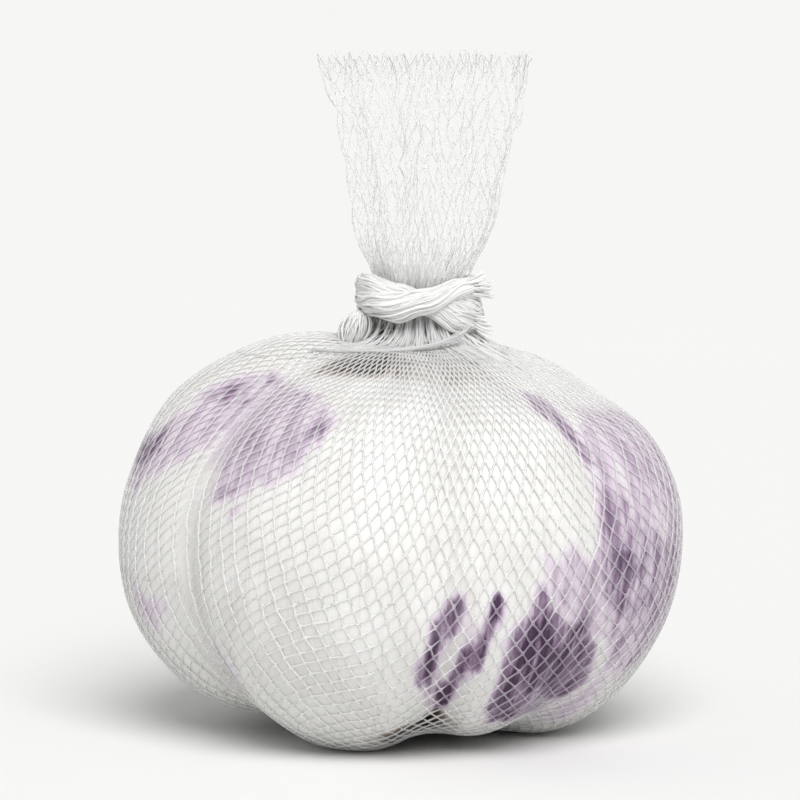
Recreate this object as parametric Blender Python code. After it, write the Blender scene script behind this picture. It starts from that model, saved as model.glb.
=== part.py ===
"""A purple-streaked garlic bulb in a white net bag that is tied at the neck.

Sizes are in millimetres and become metres where a mesh is made. +Z is up and
the front of the bulb faces -Y. The origin is in the middle of the underside,
where the net is drawn together into a flat boss between the cloves' feet.
"""

import math
from typing import NamedTuple

import bmesh
import bpy
import numpy as np
from bmesh.types import BMFace, BMVert
from mathutils import Matrix

MM = 0.001
FULL_TURN = 2 * math.pi

# The bulb, from the root plate up to the top of the cut stem
BULB_COLUMNS = 56
BULB_ROWS = 26
CLOVE_CROWN_POWER = 2.4
ROOT_COUNT = 14
ROOT_RELIEF = 1.0
ROOT_RING = 2.8
ROOT_RING_HALF = 2.4
STEM_LEAN = 1.5
STEM_TOP = 46.2

# The net, larger than life: the real one has about a hundred meshes round
MESHES_ROUND = 28
BODY_MESHES_UP = 9
NECK_MESHES_UP = 2
FAN_MESHES_UP = 3
STRAND_HALF = 0.3
PLEAT_HALF = 0.12
PLEAT_DEPTH = 0.15
NET_STANDOFF = 0.8
GATHER_RADIUS = 4.0
NECK_BOTTOM = 44.6
NECK_TOP = 53.0
FAN_TOP = 78.0
NECK_RADII = ((44.6, 5.2), (47.0, 4.9), (50.0, 4.7), (53.0, 5.3))
FAN_HALF_WIDTHS = ((53.0, 5.3), (55.5, 6.9), (59.0, 8.5), (66.0, 10.0), (78.0, 12.2))
FAN_HALF_DEPTHS = ((53.0, 5.3), (55.5, 4.4), (60.0, 3.4), (66.0, 3.0), (78.0, 2.6))
FAN_SHIFT = 0.8
FAN_RIPPLE = 1.0
FAN_RIPPLES = 1.1
OUTLINE_POINTS = 241
# Levels, counted in meshes up from the boss: the lowest mesh that is cut open, the
# neck's meshes, and how far up the neck the bag is hollow inside
LOWEST_MESH = 0.4
NECK_LEVELS = (BODY_MESHES_UP - 0.1, BODY_MESHES_UP + NECK_MESHES_UP + 0.1)
NECK_LINED_TO = BODY_MESHES_UP + 0.6

# How the net settles on the bulb
DRAPE_COLUMNS = 56
DRAPE_ROWS = 60
DRAPE_ROUNDS = 300
DRAPE_START_GAP = 2.0
ROUND_PULL = 0.3
PROFILE_POINTS = 160

# The tie: a band of two fluted turns that cross in front, a tuft and loose ends
TIE_COLUMNS = 44
TIE_SIDES = 28
TIE_INNER_RADIUS = 5.65
TIE_EDGE_ROUNDING = 0.3
TIE_LEAST_THICKNESS = 0.2
TIE_FLUTES = 3
TIE_FLUTE_DEPTH = 0.09
SKETCH_RADIUS = 3.0
TUFT_POINTS = 9
END_POINTS = 6
END_HALVES = ((0.0, 0.34), (0.7, 0.34), (0.9, 0.3), (1.0, 0.17))

WHITE_SKIN = (0.86, 0.85, 0.81, 1.0)
NET_WHITE = (0.90, 0.91, 0.90, 1.0)
TIE_WHITE = (0.92, 0.92, 0.91, 1.0)


class Clove(NamedTuple):
    """One clove under the skin: the azimuths it fills, in degrees from the front
    towards +X, and how far its side, foot and shoulder differ from the plain one."""

    start: float
    end: float
    reach: float
    foot: float
    shoulder: float


CLOVES = (
    Clove(-53, 10, -1.1, -0.2, 0.0),
    Clove(10, 44, -1.8, 1.4, -0.8),
    Clove(44, 110, -1.8, 0.0, -3.8),
    Clove(110, 156, -2.2, 0.8, -2.8),
    Clove(156, 201, -1.9, -0.2, -0.8),
    Clove(201, 245, -1.6, 0.8, 0.4),
    Clove(245, 307, -0.5, 2.0, 1.6),
)

# Radius and height down a clove's middle and down the crease between two cloves,
# from the root plate, round the foot and side, to the top of the stem
CROWN_PROFILE = (
    (0.0, 6.0),
    (4.6, 5.6),
    (9.5, 3.4),
    (17.0, 1.1),
    (25.3, 5.0),
    (31.0, 13.0),
    (32.8, 21.5),
    (31.7, 29.5),
    (27.2, 37.6),
    (18.5, 42.4),
    (11.0, 44.2),
    (5.2, 43.6),
    (3.9, 46.0),
    (0.0, STEM_TOP),
)
CREASE_PROFILE = (
    (0.0, 6.0),
    (4.6, 5.6),
    (8.5, 5.0),
    (14.5, 4.6),
    (22.0, 7.6),
    (27.6, 14.0),
    (29.6, 21.5),
    (28.6, 29.0),
    (24.2, 36.0),
    (16.6, 41.4),
    (10.4, 43.2),
    (5.0, 43.2),
    (3.9, 46.0),
    (0.0, STEM_TOP),
)
# How strongly a clove's own reach, foot and shoulder act at each of those points
REACH_SHARE = (0, 0, 0.2, 0.5, 0.9, 1, 1, 1, 0.9, 0.6, 0.2, 0, 0, 0)
FOOT_SHARE = (0, 0, 0.6, 1, 0.7, 0.2, 0, 0, 0, 0, 0, 0, 0, 0)
SHOULDER_SHARE = (0, 0, 0, 0, 0, 0, 0, 0.2, 0.7, 1, 0.6, 0, 0, 0)

# The tie's two turns: azimuth in degrees from the front, outer radius, height and
# half height. The front turn runs from low on the left to high on the right.
TIE_FRONT_TURN = (
    (-180, 7.1, 50.7, 1.6),
    (-95, 7.1, 49.6, 1.6),
    (-45, 7.6, 49.3, 1.8),
    (-5, 8.0, 50.6, 1.3),
    (45, 7.4, 51.6, 1.5),
    (90, 7.1, 50.6, 1.6),
)
TIE_REAR_TURN = (
    (-180, 7.0, 48.6, 1.6),
    (-95, 7.0, 51.3, 1.4),
    (-45, 7.0, 51.4, 1.2),
    (-5, 6.9, 50.4, 1.2),
    (40, 7.2, 49.2, 1.9),
    (90, 7.4, 48.5, 1.9),
)
# Each loose end: points (x, y, z), from inside a turn out to its tip
TIE_ENDS = (
    ((4.9, -4.2, 51.9), (6.4, -3.6, 52.3), (7.9, -3.0, 53.0)),
    ((5.0, -4.0, 51.5), (6.9, -3.4, 51.6), (8.7, -3.2, 51.9)),
    ((5.2, -3.8, 51.1), (7.0, -3.0, 50.8), (8.6, -2.2, 50.9)),
    ((5.6, -3.6, 48.6), (6.9, -3.0, 47.9), (8.0, -2.8, 47.7)),
    ((5.6, -3.6, 48.0), (7.1, -3.2, 47.0), (8.8, -3.0, 46.6)),
)
# The tuft that hangs from the front turn on the left, with its thickness along it
TIE_TUFT = ((-5.8, -1.8, 49.9), (-6.9, -2.4, 49.0), (-7.7, -2.6, 48.0), (-7.7, -2.5, 47.0))
TUFT_HALVES = ((0.0, 0.7), (0.35, 1.2), (0.7, 1.45), (1.0, 0.8))


def smooth_through(points, shares):
    """A Catmull-Rom curve through evenly spaced points, read at shares from 0 to 1."""
    points = np.asarray(points, float)
    ends = (2 * points[:1] - points[1:2], 2 * points[-1:] - points[-2:-1])
    padded = np.concatenate([ends[0], points, ends[1]])
    spans = len(points) - 1
    at = np.clip(np.asarray(shares, float), 0, 1) * spans
    span = np.minimum(at.astype(int), spans - 1)
    t = (at - span).reshape(span.shape + (1,) * (points.ndim - 1))
    a, b, c, d = (padded[span + k] for k in range(4))
    cubic = 3 * b - 3 * c + d - a
    square = 2 * a - 5 * b + 4 * c - d
    return 0.5 * (2 * b + (c - a) * t + square * t**2 + cubic * t**3)


def read_off(pairs, at):
    """The second number of (position, value) pairs, in between them by a smooth step."""
    places, values = np.array(pairs, float).T
    return smooth_through(values, np.interp(at, places, np.linspace(0, 1, len(places))))


def lean(points):
    """Points shifted sideways as the bulb and its stem lean, more the higher they are."""
    leaning = np.array(points, float)
    leaning[..., 0] += STEM_LEAN * np.clip(leaning[..., 2] / STEM_TOP, 0, 1) ** 3
    return leaning


def clove_at(azimuth):
    """The clove that fills an azimuth in radians, and 1 on its crown to 0 in a crease."""
    first = CLOVES[0].start
    degrees = (math.degrees(azimuth) - first) % 360 + first
    clove = next(c for c in CLOVES if degrees < c.end or c is CLOVES[-1])
    across = 2 * (degrees - clove.start) / (clove.end - clove.start) - 1
    return clove, 1 - min(abs(across), 1) ** CLOVE_CROWN_POWER


def bulb_profile(azimuth, shares):
    """Radius and height of the bulb's skin at an azimuth, before it leans."""
    clove, crown = clove_at(azimuth)
    ridge = np.array(CROWN_PROFILE)
    ridge[:, 0] += clove.reach * np.array(REACH_SHARE)
    ridge[:, 1] += clove.foot * np.array(FOOT_SHARE)
    ridge[:, 1] += clove.shoulder * np.array(SHOULDER_SHARE)
    crease = np.array(CREASE_PROFILE)
    return smooth_through(crease + crown * (ridge - crease), shares)


def around(azimuth, radius, height):
    """A point at an azimuth from the front, as (x, y, z)."""
    azimuth, radius, height = np.broadcast_arrays(azimuth, radius, height)
    return np.stack([radius * np.sin(azimuth), -radius * np.cos(azimuth), height], -1)


def azimuth_of(point):
    return math.atan2(point[0], -point[1])


def clear_scene():
    for old in list(bpy.data.objects):
        bpy.data.objects.remove(old)


def material(name, colour, roughness):
    made = bpy.data.materials.new(name)
    made.use_nodes = True
    shader = made.node_tree.nodes["Principled BSDF"]
    shader.inputs["Base Color"].default_value = colour
    shader.inputs["Roughness"].default_value = roughness
    shader.inputs["Metallic"].default_value = 0.0
    return made


def add_object(name, mesh, finish):
    mesh.materials.clear()
    mesh.materials.append(finish)
    made = bpy.data.objects.new(name, mesh)
    bpy.context.scene.collection.objects.link(made)
    return made


def mesh_of(bm, name):
    """The bmesh as a smooth mesh in metres."""
    bmesh.ops.triangulate(bm, faces=bm.faces[:])
    bmesh.ops.scale(bm, vec=(MM, MM, MM), verts=bm.verts[:])
    mesh = bpy.data.meshes.new(name)
    bm.to_mesh(mesh)
    bm.free()
    mesh.shade_smooth()
    return mesh


def make_bulb(finish):
    """The bulb: a ball whose rings follow the skin from the root plate to the stem."""
    bm = bmesh.new()
    bmesh.ops.create_uvsphere(
        bm, u_segments=BULB_COLUMNS, v_segments=BULB_ROWS, radius=1
    )
    for vert in bm.verts:
        azimuth = azimuth_of(vert.co)
        share = 1 - math.acos(max(-1.0, min(1.0, vert.co.z))) / math.pi
        radius, height = bulb_profile(azimuth, share)
        if share < 0.5:
            plate = max(0.0, 1 - abs(radius - ROOT_RING) / ROOT_RING_HALF)
            height -= ROOT_RELIEF * plate * (1 + math.cos(ROOT_COUNT * azimuth)) / 2
        vert.co = lean(around(azimuth, radius, height))
    return add_object("garlic_bulb", mesh_of(bm, "garlic_bulb"), finish)


def draped_sheet():
    """The net's middle surface on the bulb, as points [row, column, (radius, height)].

    Each column stays at its azimuth. Its points are pulled straight up and down
    and round the bulb, and are pushed back out of the skin and the ground.
    """
    turns = np.arange(DRAPE_COLUMNS) * FULL_TURN / DRAPE_COLUMNS
    shares = np.linspace(0, 1, PROFILE_POINTS)
    skin = np.stack([bulb_profile(a, shares) for a in turns])
    along = np.gradient(skin, axis=1)
    outward = np.stack([along[..., 1], -along[..., 0]], -1)
    outward /= np.linalg.norm(outward, axis=-1, keepdims=True)

    upward = np.linspace(0, 1, DRAPE_ROWS + 1)
    plain = smooth_through(CROWN_PROFILE[2:12], upward)
    plain[:, 0] += DRAPE_START_GAP
    plain[0] = (GATHER_RADIUS, STRAND_HALF)
    plain[-1] = (NECK_RADII[0][1], NECK_BOTTOM)
    sheet = np.repeat(plain[:, None], DRAPE_COLUMNS, axis=1)
    chord = math.cos(FULL_TURN / DRAPE_COLUMNS)
    for _ in range(DRAPE_ROUNDS):
        straight = (sheet[:-2] + sheet[2:]) / 2
        beside = (np.roll(sheet, 1, axis=1) + np.roll(sheet, -1, axis=1))[1:-1] / 2
        beside[..., 0] *= chord
        sheet[1:-1] = (1 - ROUND_PULL) * straight + ROUND_PULL * beside
        sheet = pushed_out(sheet, skin, outward)
    return evened(sheet)


def pushed_out(sheet, skin, outward):
    """The sheet with no point nearer the skin than the standoff, or under the ground."""
    inner = sheet[1:-1].transpose(1, 0, 2)
    apart = ((inner[:, :, None] - skin[:, None]) ** 2).sum(-1)
    nearest = apart.argmin(-1)[..., None]
    foot = np.take_along_axis(skin, nearest, axis=1)
    normal = np.take_along_axis(outward, nearest, axis=1)
    height = ((inner - foot) * normal).sum(-1, keepdims=True)
    inner = inner + normal * np.maximum(NET_STANDOFF - height, 0)
    inner[..., 1] = np.maximum(inner[..., 1], STRAND_HALF)
    clear = sheet.copy()
    clear[1:-1] = inner.transpose(1, 0, 2)
    return clear


def evened(sheet):
    """The sheet with the points of each column spread evenly along it."""
    even = sheet.copy()
    for column in range(sheet.shape[1]):
        line = sheet[:, column]
        length = np.linalg.norm(np.diff(line, axis=0), axis=1).cumsum()
        length = np.concatenate([[0], length])
        at = np.linspace(0, length[-1], len(line))
        for axis in range(2):
            even[:, column, axis] = np.interp(at, length, line[:, axis])
    return even


def fan_outline(height):
    """The gathered neck or flat fan of net at a height: evenly spaced points round it."""
    turns = np.linspace(0, FULL_TURN, OUTLINE_POINTS)
    share = max(0.0, (height - NECK_TOP) / (FAN_TOP - NECK_TOP))
    wide, deep = read_off(FAN_HALF_WIDTHS, height), read_off(FAN_HALF_DEPTHS, height)
    if height < NECK_TOP:
        wide = deep = read_off(NECK_RADII, height)
    across = np.sin(turns)
    x = wide * across + FAN_SHIFT * share
    ripple = FAN_RIPPLE * share * np.sin(FULL_TURN * FAN_RIPPLES * across)
    y = -deep * np.cos(turns) + ripple
    length = np.concatenate([[0], np.hypot(np.diff(x), np.diff(y)).cumsum()])
    return turns / FULL_TURN, length / length[-1], x, y


def net_point(sheet, azimuth, row):
    """Where the net's middle surface lies, at an azimuth and so many meshes up."""
    if row <= BODY_MESHES_UP:
        column = azimuth / FULL_TURN * DRAPE_COLUMNS % DRAPE_COLUMNS
        up = row / BODY_MESHES_UP * DRAPE_ROWS
        left, low = int(column), min(int(up), DRAPE_ROWS - 1)
        right = (left + 1) % DRAPE_COLUMNS
        lower = sheet[low, left] * (left + 1 - column) + sheet[low, right] * (column - left)
        upper = sheet[low + 1, left] * (left + 1 - column)
        upper = upper + sheet[low + 1, right] * (column - left)
        radius, height = lower * (low + 1 - up) + upper * (up - low)
        return around(azimuth, radius, height)
    neck_share = (row - BODY_MESHES_UP) / NECK_MESHES_UP
    if neck_share <= 1:
        height = NECK_BOTTOM + (NECK_TOP - NECK_BOTTOM) * neck_share
    else:
        fan_share = (row - BODY_MESHES_UP - NECK_MESHES_UP) / FAN_MESHES_UP
        height = NECK_TOP + (FAN_TOP - NECK_TOP) * fan_share
    turn, length, x, y = fan_outline(height)
    at = azimuth / FULL_TURN % 1
    return np.array([np.interp(at, length, x), np.interp(at, length, y), height])


def diamond_tube(columns, rows):
    """A unit cylinder of diamonds: a plain grid is poked and its own edges dissolved."""
    bm = bmesh.new()
    line = [bm.verts.new((0, -1, row)) for row in range(rows + 1)]
    links = [bm.edges.new(pair) for pair in zip(line, line[1:])]
    bmesh.ops.spin(
        bm,
        geom=line + links,
        cent=(0, 0, 0),
        axis=(0, 0, 1),
        angle=FULL_TURN,
        steps=columns,
        use_merge=True,
    )
    grid = [edge for edge in bm.edges if len(edge.link_faces) == 2]
    bmesh.ops.poke(bm, faces=bm.faces[:])
    bmesh.ops.dissolve_edges(bm, edges=grid)
    bm.normal_update()
    side = next(iter(bm.faces))
    if side.normal.xy.dot(side.calc_center_median().xy) < 0:
        bmesh.ops.reverse_faces(bm, faces=bm.faces[:])
    return bm


def cut_meshes(bm, level):
    """Cuts every mesh of the body and fan open, and sinks those of the neck between
    their strands. Returns the points that lie on the strands' middles."""
    meshes = [face for face in bm.faces if face[level] > LOWEST_MESH]
    gathered = {face for face in meshes if NECK_LEVELS[0] < face[level] < NECK_LEVELS[1]}
    bmesh.ops.inset_individual(
        bm, faces=list(gathered), thickness=PLEAT_HALF, use_even_offset=True
    )
    sunk = {vert: vert.normal.copy() for face in gathered for vert in face.verts}
    for vert, normal in sunk.items():
        vert.co -= normal * PLEAT_DEPTH
    knots = list(bm.verts)
    holes = [face for face in meshes if face not in gathered]
    bmesh.ops.inset_individual(
        bm, faces=holes, thickness=STRAND_HALF, use_even_offset=True
    )
    hem = [
        face
        for edge in bm.edges
        if edge.is_boundary and min(vert.co.z for vert in edge.verts) > NECK_TOP
        for face in edge.link_faces
    ]
    bmesh.ops.delete(bm, geom=holes + hem, context="FACES")
    bm.normal_update()
    return knots


def thicken_strands(bm, level, knots):
    """Gives the strands their thickness: an inner face is laid behind the outer one,
    and the two meet at the edges of the meshes. The neck stays solid."""
    outward = {knot: knot.normal.copy() for knot in knots}
    lined = [
        face
        for face in bm.faces
        if face[level] < NECK_LINED_TO or face[level] > NECK_LEVELS[1]
    ]
    made = bmesh.ops.duplicate(bm, geom=lined)
    behind = [face for face in made["geom"] if isinstance(face, BMFace)]
    bmesh.ops.reverse_faces(bm, faces=behind)
    for new, old in made["vert_map"].items():
        if isinstance(old, BMVert) and old in outward:
            new.co -= outward[old] * STRAND_HALF
    for knot, normal in outward.items():
        knot.co += normal * STRAND_HALF
        on_boss = knot.co.xy.length < GATHER_RADIUS + STRAND_HALF and knot.co.z < 1
        knot.co.z = 0 if on_boss else max(knot.co.z, 0)
    bmesh.ops.remove_doubles(bm, verts=bm.verts[:], dist=1e-5)


def close_openings(bm):
    """Every open loop of edges filled, a large one by a cone to its middle."""
    loops = [edge for edge in bm.edges if edge.is_boundary]
    lids = bmesh.ops.holes_fill(bm, edges=loops, sides=0)["faces"]
    bmesh.ops.poke(bm, faces=[lid for lid in lids if len(lid.verts) > 4])


def make_net(finish):
    """The net bag: diamond meshes round the bulb, a dense neck and an open fan."""
    rows = BODY_MESHES_UP + NECK_MESHES_UP + FAN_MESHES_UP
    bm = diamond_tube(MESHES_ROUND, rows)
    level = bm.faces.layers.float.new("level")
    for face in bm.faces:
        face[level] = face.calc_center_bounds().z
    sheet = draped_sheet()
    for vert in bm.verts:
        vert.co = net_point(sheet, azimuth_of(vert.co), vert.co.z)
    bm.normal_update()
    knots = cut_meshes(bm, level)
    thicken_strands(bm, level, knots)
    close_openings(bm)
    for vert in bm.verts:
        vert.co = lean(vert.co)
    bmesh.ops.recalc_face_normals(bm, faces=bm.faces[:])
    if bm.calc_volume(signed=True) < 0:
        bmesh.ops.reverse_faces(bm, faces=bm.faces[:])
    return add_object("net_bag", mesh_of(bm, "net_bag"), finish)


def eased(at, places, values):
    """A value between two places, without a kink at either."""
    low = min(max(int(np.searchsorted(places, at, "right")) - 1, 0), len(places) - 2)
    share = (at - places[low]) / (places[low + 1] - places[low])
    share = share * share * (3 - 2 * share)
    return values[low] + share * (values[low + 1] - values[low])


def turn_at(stations, azimuth):
    """Outer radius, height and half height of one turn of the tie at an azimuth."""
    first = stations[0]
    route = np.array([*stations, (first[0] + 360, *first[1:])], float)
    at = (math.degrees(azimuth) - first[0]) % 360 + first[0]
    return [eased(at, route[:, 0], route[:, k]) for k in (1, 2, 3)]


def tie_point(azimuth, corner):
    """A point of the tie's band, from its azimuth and where it is round the section."""
    turns = [turn_at(stations, azimuth) for stations in (TIE_FRONT_TURN, TIE_REAR_TURN)]
    low = min(height - tall for _, height, tall in turns)
    high = max(height + tall for _, height, tall in turns)
    height = (low + high) / 2 + (high - low) / 2 * math.sin(corner)
    radius = TIE_INNER_RADIUS + TIE_EDGE_ROUNDING * abs(math.sin(corner)) ** 3
    if abs(corner) < math.pi / 2 - 1e-6:
        bulges = [TIE_LEAST_THICKNESS]
        for outer, middle, tall in turns:
            across = (height - middle) / tall
            dome = max(0.0, 1 - across**2)
            flute = TIE_FLUTE_DEPTH * math.cos(math.pi * TIE_FLUTES * across)
            bulges.append((outer - TIE_INNER_RADIUS) * dome**0.5 + flute * dome)
        radius += max(bulges)
    return lean(around(azimuth, radius, height))


def make_band():
    """The band of the tie: a plain ring spun from a circle, then drawn over by its
    two crossing turns."""
    bm = bmesh.new()
    upright = Matrix.Rotation(math.pi / 2, 4, "Y")
    in_front = Matrix.Translation((0, -SKETCH_RADIUS, 0))
    ring = bmesh.ops.create_circle(
        bm, cap_ends=False, segments=TIE_SIDES, radius=1, matrix=in_front @ upright
    )["verts"]
    links = list({edge for vert in ring for edge in vert.link_edges})
    bmesh.ops.spin(
        bm,
        geom=ring + links,
        cent=(0, 0, 0),
        axis=(0, 0, 1),
        angle=FULL_TURN,
        steps=TIE_COLUMNS,
        use_merge=True,
    )
    for vert in bm.verts:
        corner = math.atan2(vert.co.z, vert.co.xy.length - SKETCH_RADIUS)
        vert.co = tie_point(azimuth_of(vert.co), corner) * MM
    bmesh.ops.recalc_face_normals(bm, faces=bm.faces[:])
    mesh = bpy.data.meshes.new("band")
    bm.to_mesh(mesh)
    bm.free()
    return mesh


def loose_end(name, points, halves):
    """A round strand along points, as thick at each as halves say."""
    curve = bpy.data.curves.new(name, "CURVE")
    curve.dimensions = "3D"
    curve.use_fill_caps = True
    curve.bevel_depth = MM
    curve.bevel_resolution = 1
    spline = curve.splines.new("POLY")
    spline.points.add(len(points) - 1)
    for knot, place, half in zip(spline.points, lean(points), halves):
        knot.co = (*(place * MM), 1)
        knot.radius = half
    holder = bpy.data.objects.new(name, curve)
    bpy.context.scene.collection.objects.link(holder)
    bpy.context.view_layer.update()
    graph = bpy.context.evaluated_depsgraph_get()
    mesh = bpy.data.meshes.new_from_object(holder.evaluated_get(graph))
    bpy.data.objects.remove(holder)
    bm = bmesh.new()
    bm.from_mesh(mesh)
    bmesh.ops.remove_doubles(bm, verts=bm.verts[:], dist=1e-7)
    bmesh.ops.recalc_face_normals(bm, faces=bm.faces[:])
    bm.to_mesh(mesh)
    bm.free()
    return bpy.data.objects.new(name, mesh)


def make_tie(finish):
    """The tie: its band with a hanging tuft and loose ends, joined into one piece."""
    along = np.linspace(0, 1, TUFT_POINTS)
    tuft_route, tuft_halves = smooth_through(TIE_TUFT, along), read_off(TUFT_HALVES, along)
    pieces = [loose_end("tuft", tuft_route, tuft_halves)]
    along = np.linspace(0, 1, END_POINTS)
    for number, route in enumerate(TIE_ENDS):
        end_route, end_halves = smooth_through(route, along), read_off(END_HALVES, along)
        pieces.append(loose_end(f"end_{number}", end_route, end_halves))
    parts = bpy.data.collections.new("tie_pieces")
    bpy.context.scene.collection.children.link(parts)
    for piece in pieces:
        parts.objects.link(piece)
    tie = add_object("net_tie", make_band(), finish)
    union = tie.modifiers.new("union", "BOOLEAN")
    union.operation = "UNION"
    union.solver = "EXACT"
    union.operand_type = "COLLECTION"
    union.collection = parts
    bpy.context.view_layer.update()
    graph = bpy.context.evaluated_depsgraph_get()
    joined = bpy.data.meshes.new_from_object(tie.evaluated_get(graph))
    tie.modifiers.clear()
    tie.data = joined
    joined.materials.clear()
    joined.materials.append(finish)
    joined.shade_smooth()
    for piece in pieces:
        bpy.data.objects.remove(piece)
    bpy.data.collections.remove(parts)
    return tie


def main():
    clear_scene()
    make_bulb(material("garlic_skin", WHITE_SKIN, 0.45))
    make_net(material("net_plastic", NET_WHITE, 0.4))
    make_tie(material("tie_fibre", TIE_WHITE, 0.6))


main()
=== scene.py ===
"""A purple-streaked garlic bulb in a fine white net bag, tied at the neck.

Sizes in the tables and functions are millimetres and become metres where a mesh is
made. +Z is up, the front of the bulb faces -Y, and the origin is in the middle of
the underside. Azimuths are measured from the front towards +X.
"""

import functools
import math
from typing import NamedTuple

import bmesh
import bpy
import numpy as np
from bmesh.types import BMFace, BMVert
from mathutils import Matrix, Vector
from mathutils.kdtree import KDTree


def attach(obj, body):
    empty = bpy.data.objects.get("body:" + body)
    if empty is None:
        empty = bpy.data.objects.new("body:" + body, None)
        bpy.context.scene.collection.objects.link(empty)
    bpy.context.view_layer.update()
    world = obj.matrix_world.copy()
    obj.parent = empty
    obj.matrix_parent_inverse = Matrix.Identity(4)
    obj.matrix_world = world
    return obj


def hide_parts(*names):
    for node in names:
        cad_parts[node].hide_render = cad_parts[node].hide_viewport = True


bl_info = {
    "name": "Garlic Bulb in a Net Bag",
    "version": (1, 0, 0),
    "blender": (4, 5, 0),
    "location": "View3D > Sidebar > Garlic",
    "description": "A whole garlic bulb in a tied bag of fine diamond net",
    "category": "Add Mesh",
}

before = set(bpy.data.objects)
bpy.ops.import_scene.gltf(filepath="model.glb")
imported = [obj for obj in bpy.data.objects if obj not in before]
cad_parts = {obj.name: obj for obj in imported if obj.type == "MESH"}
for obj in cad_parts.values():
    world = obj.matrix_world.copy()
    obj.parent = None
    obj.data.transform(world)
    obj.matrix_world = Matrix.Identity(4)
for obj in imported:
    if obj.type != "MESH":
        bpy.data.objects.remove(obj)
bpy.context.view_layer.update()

MM = 0.001
FULL_TURN = 2 * math.pi
BODY = "root"

# The studio, in metres
FLOOR_RADIUS = 12.0
SUN_SPREAD = math.radians(40)
SUN_TURN = (math.radians(41), math.radians(10), 0)
SENSOR_WIDTH = 36
NEAREST_SEEN = 0.01
FURTHEST_SEEN = 60
LOOK_AT = (-0.00058, 0, 0.0382)

# The bulb's form
CLOVE_CROWN_POWER = 2.4
STEM_LEAN = 1.5
STEM_TOP = 46.2
SKIN_FLOOR = 0.34
SKIN_COLUMNS = 320
SKIN_ROWS = 210
WRINKLES_ROUND = (5, 7, 11, 17, 23, 29, 37, 43, 53, 61, 71, 83, 97, 113)
ROOT_STUBS = 150
ROOT_PLATE_RADIUS = 5.2
ROOT_PLATE_HEIGHT = 5.7


class Clove(NamedTuple):
    """One clove under the skin: the azimuths it fills, in degrees, and how far its
    side, foot and shoulder differ from the plain one."""

    start: float
    end: float
    reach: float
    foot: float
    shoulder: float


CLOVES = (
    Clove(-53, 10, -1.1, -0.2, 0.0),
    Clove(10, 44, -1.8, 1.4, -0.8),
    Clove(44, 110, -1.8, 0.0, -3.8),
    Clove(110, 156, -2.2, 0.8, -2.8),
    Clove(156, 201, -1.9, -0.2, -0.8),
    Clove(201, 245, -1.6, 0.8, 0.4),
    Clove(245, 307, -0.5, 2.0, 1.6),
)

# Radius and height down a clove's middle and down the crease between two cloves,
# from the root plate, round the foot and side, to the top of the stem
CROWN_PROFILE = (
    (0.0, 6.0),
    (4.6, 5.6),
    (9.5, 3.4),
    (17.0, 1.1),
    (25.3, 5.0),
    (31.0, 13.0),
    (32.8, 21.5),
    (31.7, 29.5),
    (27.2, 37.6),
    (18.5, 42.4),
    (11.0, 44.2),
    (5.2, 43.6),
    (3.9, 46.0),
    (0.0, STEM_TOP),
)
CREASE_PROFILE = (
    (0.0, 6.0),
    (4.6, 5.6),
    (8.5, 5.0),
    (14.5, 4.6),
    (22.0, 7.6),
    (27.6, 14.0),
    (29.6, 21.5),
    (28.6, 29.0),
    (24.2, 36.0),
    (16.6, 41.4),
    (10.4, 43.2),
    (5.0, 43.2),
    (3.9, 46.0),
    (0.0, STEM_TOP),
)
# How strongly a clove's own reach, foot and shoulder act at each of those points
REACH_SHARE = (0, 0, 0.2, 0.5, 0.9, 1, 1, 1, 0.9, 0.6, 0.2, 0, 0, 0)
FOOT_SHARE = (0, 0, 0.6, 1, 0.7, 0.2, 0, 0, 0, 0, 0, 0, 0, 0)
SHOULDER_SHARE = (0, 0, 0, 0, 0, 0, 0, 0.2, 0.7, 1, 0.6, 0, 0, 0)


class Patch(NamedTuple):
    """A purple patch of the skin: how dark it is, how far its edge fades in
    millimetres, and its outline as (azimuth, percent of the way up the skin)."""

    depth: float
    fade: float
    outline: tuple


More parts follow.
